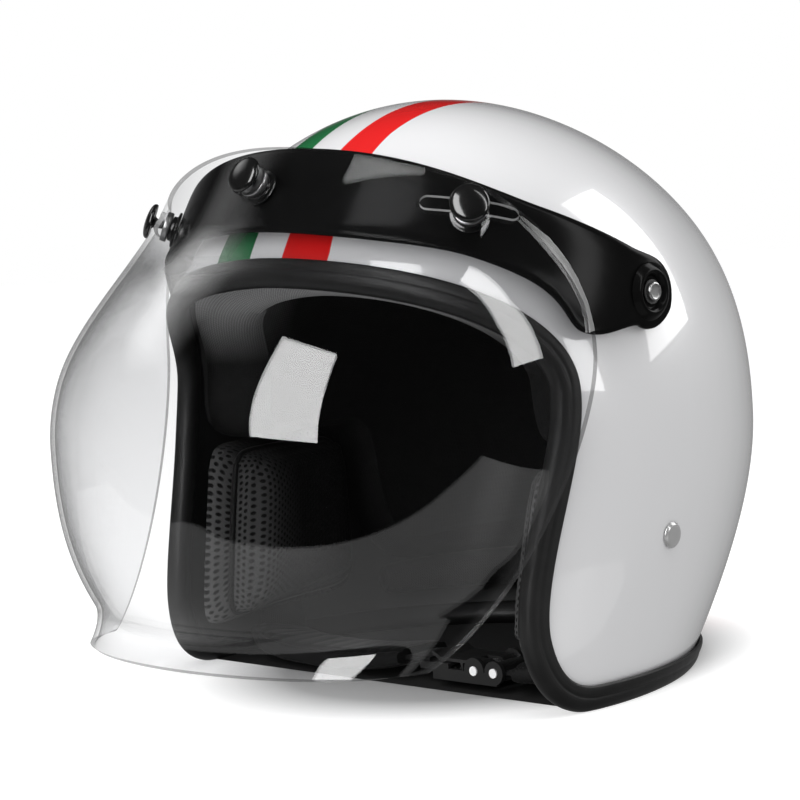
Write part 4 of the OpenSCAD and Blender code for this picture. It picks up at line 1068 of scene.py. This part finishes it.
def turned(node, profiles, places, finish, body):
    """Several turned shapes in one piece, each profile set at its own place and direction."""
    points, faces, total = [], [], 0
    for profile, (at, normal) in zip(profiles, places):
        p, f = lathe(profile)
        points.append(aimed(p, at, normal))
        faces.append(f + total)
        total += len(p)
    put(node + "_turned", join(*points), faces, [finish], body, node, sharp=55.0)


def cap_seat(k):
    """Height of a cap's seat: room for its radius times the slope of the sheet across the axis."""
    c = unit(np.cross(*slopes(*meets[k][1:]))) @ snap_places[k][1]
    return tops[k] + CAP_ROOM + CAP_R * math.sqrt(1 / c ** 2 - 1)


def cap_profile(top, seat):
    """Pin, underside, rim and low dome of a snap cap."""
    pin = [[0, top - 3.3], [PIN_R, top - 3.3], [PIN_R, seat]]
    rim = [[7.4, seat], [CAP_R, seat + 0.3], [CAP_R, seat + 1.4], [7.1, seat + 2.4]]
    return soften(pin + rim + [[4.5, seat + 3.2], [1.6, seat + 3.45], [0, seat + 3.5]], 2)


def stud_profile(top):
    """Flange on the band, neck, and the knob that the socket snaps over."""
    flange = [[0, 1.85], [7.8, 1.85], [STUD_R, 2.1], [STUD_R, 2.7], [7.7, 2.95]]
    neck = [[NECK_R, 3.2], [NECK_R, top - 6.7], [5.3, top - 6.4]]
    return soften(flange + neck + [[3.6, top - 6.3], [3.6, top - 4.4], [2.9, top - 3.8], [0, top - 3.8]], 1)


def socket_profile(top):
    """A ring with a waist inside that grips the knob."""
    drops = [[2.2, 3.4], [3.65, 5.2], [3.7, 6.1], [6.5, 6.1], [6.7, 5.8], [6.7, 3.6], [6.4, 3.3], [2.2, 3.3]]
    return soften([[r, top - drop] for r, drop in drops], 1)


snap_places = [band_frame(a)[:2] for a in SNAPS]
tops = [g[0] for g in meets]
seats = [cap_seat(k) for k in range(len(tops))]
print("snap heights", tops, "cap seats", seats)
turned("snap_caps", map(cap_profile, tops, seats), snap_places, snap_plastic, "shield")
turned("snap_studs", map(stud_profile, tops), snap_places, snap_plastic, "shield")
turned("snap_sockets", map(socket_profile, tops), snap_places, steel, "shield")
rivet_d = ball([RIVET_Y, RIVET_Z])
rivet_p, rivet_n = skin(rivet_d, 0.0), skin_normal(rivet_d)
rivet_head = [[0, 1.75], [3.0, 1.78], [4.5, 1.7], [5.05, 1.25], [5.5, 0.8], [5.5, 0.15]]
rivet = soften(rivet_head + [[2.4, 0.15], [2.4, -7.9], [4, -8.0], [4, -8.6], [0, -8.9]], 2)
turned("strap_rivets", [rivet, rivet], [(rivet_p, rivet_n), (rivet_p * FLIP, rivet_n * FLIP)], rivet_chrome,
       "helmet")
button_head = [[0, 2.45], [2.6, 2.5], [3.3, 2.7], [4.0, 2.3], [4.0, 0.9], [3.0, 0.85]]
post = [[r, TAB_OUT + up] for r, up in button_head] + [[3.0, pivot_x - 13.8], [0, pivot_x - 14.0]]
turned("pivot_posts", [soften(post, 2)] * 2, [(PIVOT, ASIDE), (PIVOT, -ASIDE)], button_metal,
       "helmet")

# %% [markdown]
# What is left of the exact model keeps its own mesh: plates, washers, nuts and the buckle. Each
# node takes the finish of its slot.

# %% Finishes of the exact nodes
finished_nodes = (
    (foam, "impact_liner"), (plate_plastic, "cheek_plate_left cheek_plate_right pad_studs pivot_washers"),
    (steel, "rivet_washers strap_hangers buckle_spring pivot_nuts snap_backs"), (pin_steel_painted_bright, "buckle_pins"),
    (buckle_dark, "buckle_housing"), (lever_plastic, "buckle_lever"), (tongue_plastic, "buckle_tongue"),
    (band_plastic, "pivot_bosses"))
for finish, names in finished_nodes:
    for name in names.split():
        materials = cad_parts[name].data.materials
        materials.clear()
        materials.append(finish.material)
    print(finish.material.name, "on", names)

# %% [markdown]
# The camera stands where outlines, rim, rivet and snaps of the photograph put it. Its angles are in
# degrees and its distance in millimetres; the focal length and the picture's middle are in pixels
# of a picture 800 pixels wide.

# %% Camera at the photograph's angle
WIDE, SENSOR = 800.0, 36.0
AZ, EL, ROLL = np.radians([42.524, 5.027, -2.721])
DIST, FOCAL, MIDDLE = 1028.07, 2301.8, np.array([447.6, 428.7])
target = np.array([0.0, 0.0, 106.22])
back = np.array([math.sin(AZ) * math.cos(EL), -math.cos(AZ) * math.cos(EL), math.sin(EL)])
right = np.array([math.cos(AZ), math.sin(AZ), 0.0])
upward = np.cross(back, right)
c, s = math.cos(ROLL), math.sin(ROLL)
right, upward = right * c + upward * s, upward * c - right * s
eye = target + back * DIST
aside, raised = (MIDDLE - WIDE / 2) * DIST / FOCAL
view_back = unit(eye - (target - aside * right + raised * upward))
view_right = unit(np.cross(upward, view_back))
view_up = np.cross(view_back, view_right)
lens = bpy.data.cameras.new("camera")
lens.sensor_width, lens.lens = SENSOR, SENSOR * FOCAL / WIDE
lens.clip_start, lens.clip_end = 0.05, 50.0
camera = bpy.data.objects.new("camera", lens)
turned_to = Matrix(np.stack([view_right, view_up, view_back], 1).tolist()).to_4x4()
camera.matrix_world = Matrix.Translation(Vector((eye + SHIFT) * MM)) @ turned_to
bpy.context.scene.collection.objects.link(camera)
bpy.context.scene.camera = camera
bpy.context.scene.view_settings.view_transform = "Standard"
print("camera", camera.location, "lens", lens.lens)

# %% [markdown]
# The studio is a pale floor under an even white sky, with dark surroundings for whatever is glossy
# to reflect. One sky can't be both, so it asks what kind of ray it is lighting. The floor glows to
# stay white, but its glow fades out under the helmet, a painted shade there. A black card inside
# the shell's foot is a sheet of painted shade: it keeps the floor from showing in the helmet.

# %% Floor and sky
def staged(name, corners, finish):
    """A flat card of four or more corners, in millimetres, that isn't part of the object."""
    mesh = bpy.data.meshes.new(name)
    mesh.from_pydata(((np.array(corners, float) + SHIFT) * MM).tolist(), [], [tuple(range(len(corners)))])
    mesh.materials.append(finish.material)
    made = bpy.data.objects.new(name, mesh)
    bpy.context.scene.collection.objects.link(made)
    return made


def level_square(x, y, z, half):
    """Corners of a level square about a middle."""
    return [(x + half * dx, y + half * dy, z) for dx, dy in ((-1, -1), (1, -1), (1, 1), (-1, 1))]


def glow_spot(name, shade, low, high, centre, radii, glow):
    """A finish that glows by how far a place is from a centre: from low to high radii."""
    made = moulded(name, shade, shade * 1.02, 0.7, 5.0, Emission_Strength=glow)
    x, y, _ = made.place()
    far = (((x - centre[0]) / radii[0]) ** 2.0 + ((y - centre[1]) / radii[1]) ** 2.0) ** 0.5
    made.look(Emission_Color=made.blend(far.step(low, high), grey(0.0), grey(1.0)))
    return made


FLOOR_HALF, FOOT_SHARE, FOOT_LIFT = 9000.0, 0.97, 0.15
SKY_DIFFUSE, SKY_DARK, SKY_BEHIND = 0.86, 0.012, 0.26
# Painted shade: the floor's glow fades out under the helmet.
pale = glow_spot("pale floor", 0.55, 0.72, 1.02, (0.0, 38.0), (112.0, 140.0), 0.60)
floor = staged("floor", level_square(0, 0, 0, FLOOR_HALF), pale)
floor.visible_glossy = floor.visible_diffuse = False
# A black sheet of painted shade inside the shell's foot.
foot = edge[edge[:, 2] < SHELL_WALL] * [FOOT_SHARE, FOOT_SHARE, 0.0] + [0.0, 0.0, FOOT_LIFT]
staged("black shade card", foot, moulded("black shade card", 0.004, 0.006, 0.9))
world = bpy.data.worlds.new("studio")
bpy.context.scene.world = world
world.use_nodes = True
sky = world.node_tree
path = sky.nodes.new("ShaderNodeLightPath")
seen, shiny = Wire(sky, path.outputs["Is Camera Ray"]), Wire(sky, path.outputs["Is Glossy Ray"])
ways = sky.nodes.new("ShaderNodeSeparateXYZ")
sky.links.new(sky.nodes.new("ShaderNodeTexCoord").outputs["Generated"], ways.inputs[0])
behind = -sum(Wire(sky, o) * float(b) for o, b in zip(ways.outputs, back))
rising = Wire(sky, ways.outputs[2])
mirrored = SKY_DARK + SKY_BEHIND * behind.step(0.0, 0.55) * (1.0 - rising.step(0.05, 0.30))
strength = seen + (1.0 - seen) * (shiny * mirrored + (1.0 - shiny) * SKY_DIFFUSE)
plug(sky, sky.nodes["Background"].inputs[0], grey(1.0))
plug(sky, sky.nodes["Background"].inputs[1], strength)
print("sky nodes", len(sky.nodes), "foot corners", len(foot))

# %% [markdown]
# Gloss is seen by what it mirrors. Each white card makes one pale shape on the shell or bubble; its
# corners are found by turning the line of sight over at the corners of that shape, as a billiard
# ball turns at a cushion. The cards only show in reflections; the sky and two soft boxes light.

# %% Cards for the reflections, and the soft boxes
CARD_REACH, UNDER_FLOOR = 1200.0, 0.5


def card(name, corners, glow):
    """A card that only reflections see; its glow is a strength of white, or a finish."""
    if not isinstance(glow, Finish):
        glow = Finish(name, Base_Color=grey(0.0), Emission_Color=grey(1.0), Emission_Strength=glow)
    made = staged(name, corners, glow)
    made.visible_camera = made.visible_diffuse = made.visible_shadow = made.visible_transmission = False


def seen_at(points):
    """Where points fall in the picture, in its pixels."""
    from_eye = points - eye
    scale = -FOCAL / (from_eye @ back)
    return point(MIDDLE[0] + scale * (from_eye @ right), MIDDLE[1] - scale * (from_eye @ upward))


def turned_sight(surface, normals, pixels):
    """Places on a surface seen at the pixels, and the line of sight's way after it turns there."""
    places, n = surface.reshape(-1, 3), normals.reshape(-1, 3)
    sight = unit(places - eye)
    hidden = np.where((sight * n).sum(-1) < 0, 0.0, 1e6)
    spots = seen_at(places)
    hits = [np.argmin(np.linalg.norm(spots - np.array(pixel), axis=-1) + hidden) for pixel in pixels]
    d, m = sight[hits], n[hits]
    return places[hits], d - 2 * (d * m).sum(-1, keepdims=True) * m


def card_corners(surface, pixels):
    """Corners of a card that the surface mirrors at those pixels."""
    places, ways = turned_sight(*surface, pixels)
    return places + CARD_REACH * ways


def on_table(pixels, n=24):
    """Places just under the floor that the bubble mirrors along a smooth curve through the pixels."""
    curve = route(np.array(pixels, float)[:, None], np.linspace(0.0, 1.0, n))[:, 0]
    places, ways = turned_sight(*bubble_mirror, curve)
    fall = (places[:, 2:] + UNDER_FLOOR) / np.maximum(-ways[:, 2:], 0.05)
    return places + fall * ways


T, A = np.meshgrid(np.linspace(0, 1, 500), np.radians(np.linspace(90, -90, 500)), indexing="ij")
fine = bubble_at(T, A)
bubble_mirror = fine, unit(np.cross(np.gradient(fine, axis=1), np.gradient(fine, axis=0)))
shell_ways = fall_lines(rim, np.linspace(0.003, 1.0, 300))
shell_mirror = skin(shell_ways, 0.0), skin_normal(shell_ways)
window_pixels = [(283, 336), (336, 353), (316, 443), (249, 436)]
strip_pixels = [(470, 266), (513, 302), (543, 358), (515, 367), (497, 323), (460, 280)]
patch_pixels = [(561, 205), (594, 189), (687, 319), (650, 362)]
crescent_top = [(165, 525), (188, 524), (230, 543), (300, 549), (370, 536), (430, 505), (484, 456)]
crescent_end = [(549, 470), (545, 496), (520, 548), (495, 572), (480, 590), (460, 605), (440, 617)]
table_near = [(x, y, -UNDER_FLOOR) for x, y in ((120, -125), (-120, -125), (-700, -260), (-700, -640))]
strip_corners = card_corners(bubble_mirror, strip_pixels)
card("front card", card_corners(bubble_mirror, window_pixels), 8.0)
card("side card high", strip_corners[[0, 1, 4, 5]], 7.0)
card("side card low", strip_corners[[1, 2, 3, 4]], 7.0)
card("rear card", card_corners(shell_mirror, patch_pixels), 4.5)
card("table card", join(on_table(crescent_top), on_table(crescent_end), table_near), 0.5)
veil_x, veil_y, veil_z, veil_half = -940.0, -190.0, 920.0, 420.0
veil = glow_spot("soft card", 0.0, 1.0, 0.0, (veil_x, veil_y), (veil_half, veil_half), 2.0)
card("soft card", level_square(veil_x, veil_y, veil_z, veil_half), veil)


def soft_box(name, place, size, watts):
    """A square lamp that looks at the helmet and shows in no reflection."""
    lamp = bpy.data.lights.new(name, "AREA")
    lamp.size, lamp.energy = size, watts
    made = bpy.data.objects.new(name, lamp)
    aim = (Vector((0.0, 0.0, 0.1)) - Vector(place)).to_track_quat("-Z", "Y")
    made.matrix_world = Matrix.Translation(place) @ aim.to_matrix().to_4x4()
    made.visible_glossy = False
    bpy.context.scene.collection.objects.link(made)


soft_box("soft box", (0.25, -0.2, 1.9), 1.2, 18.0)
soft_box("fill box", (-0.5, -1.4, 0.45), 0.8, 14.0)

# %% [markdown]
# The view layer is brought up to date last, when every piece is in place.

# %% The last line, which brings the scene up to date
bpy.context.view_layer.update()
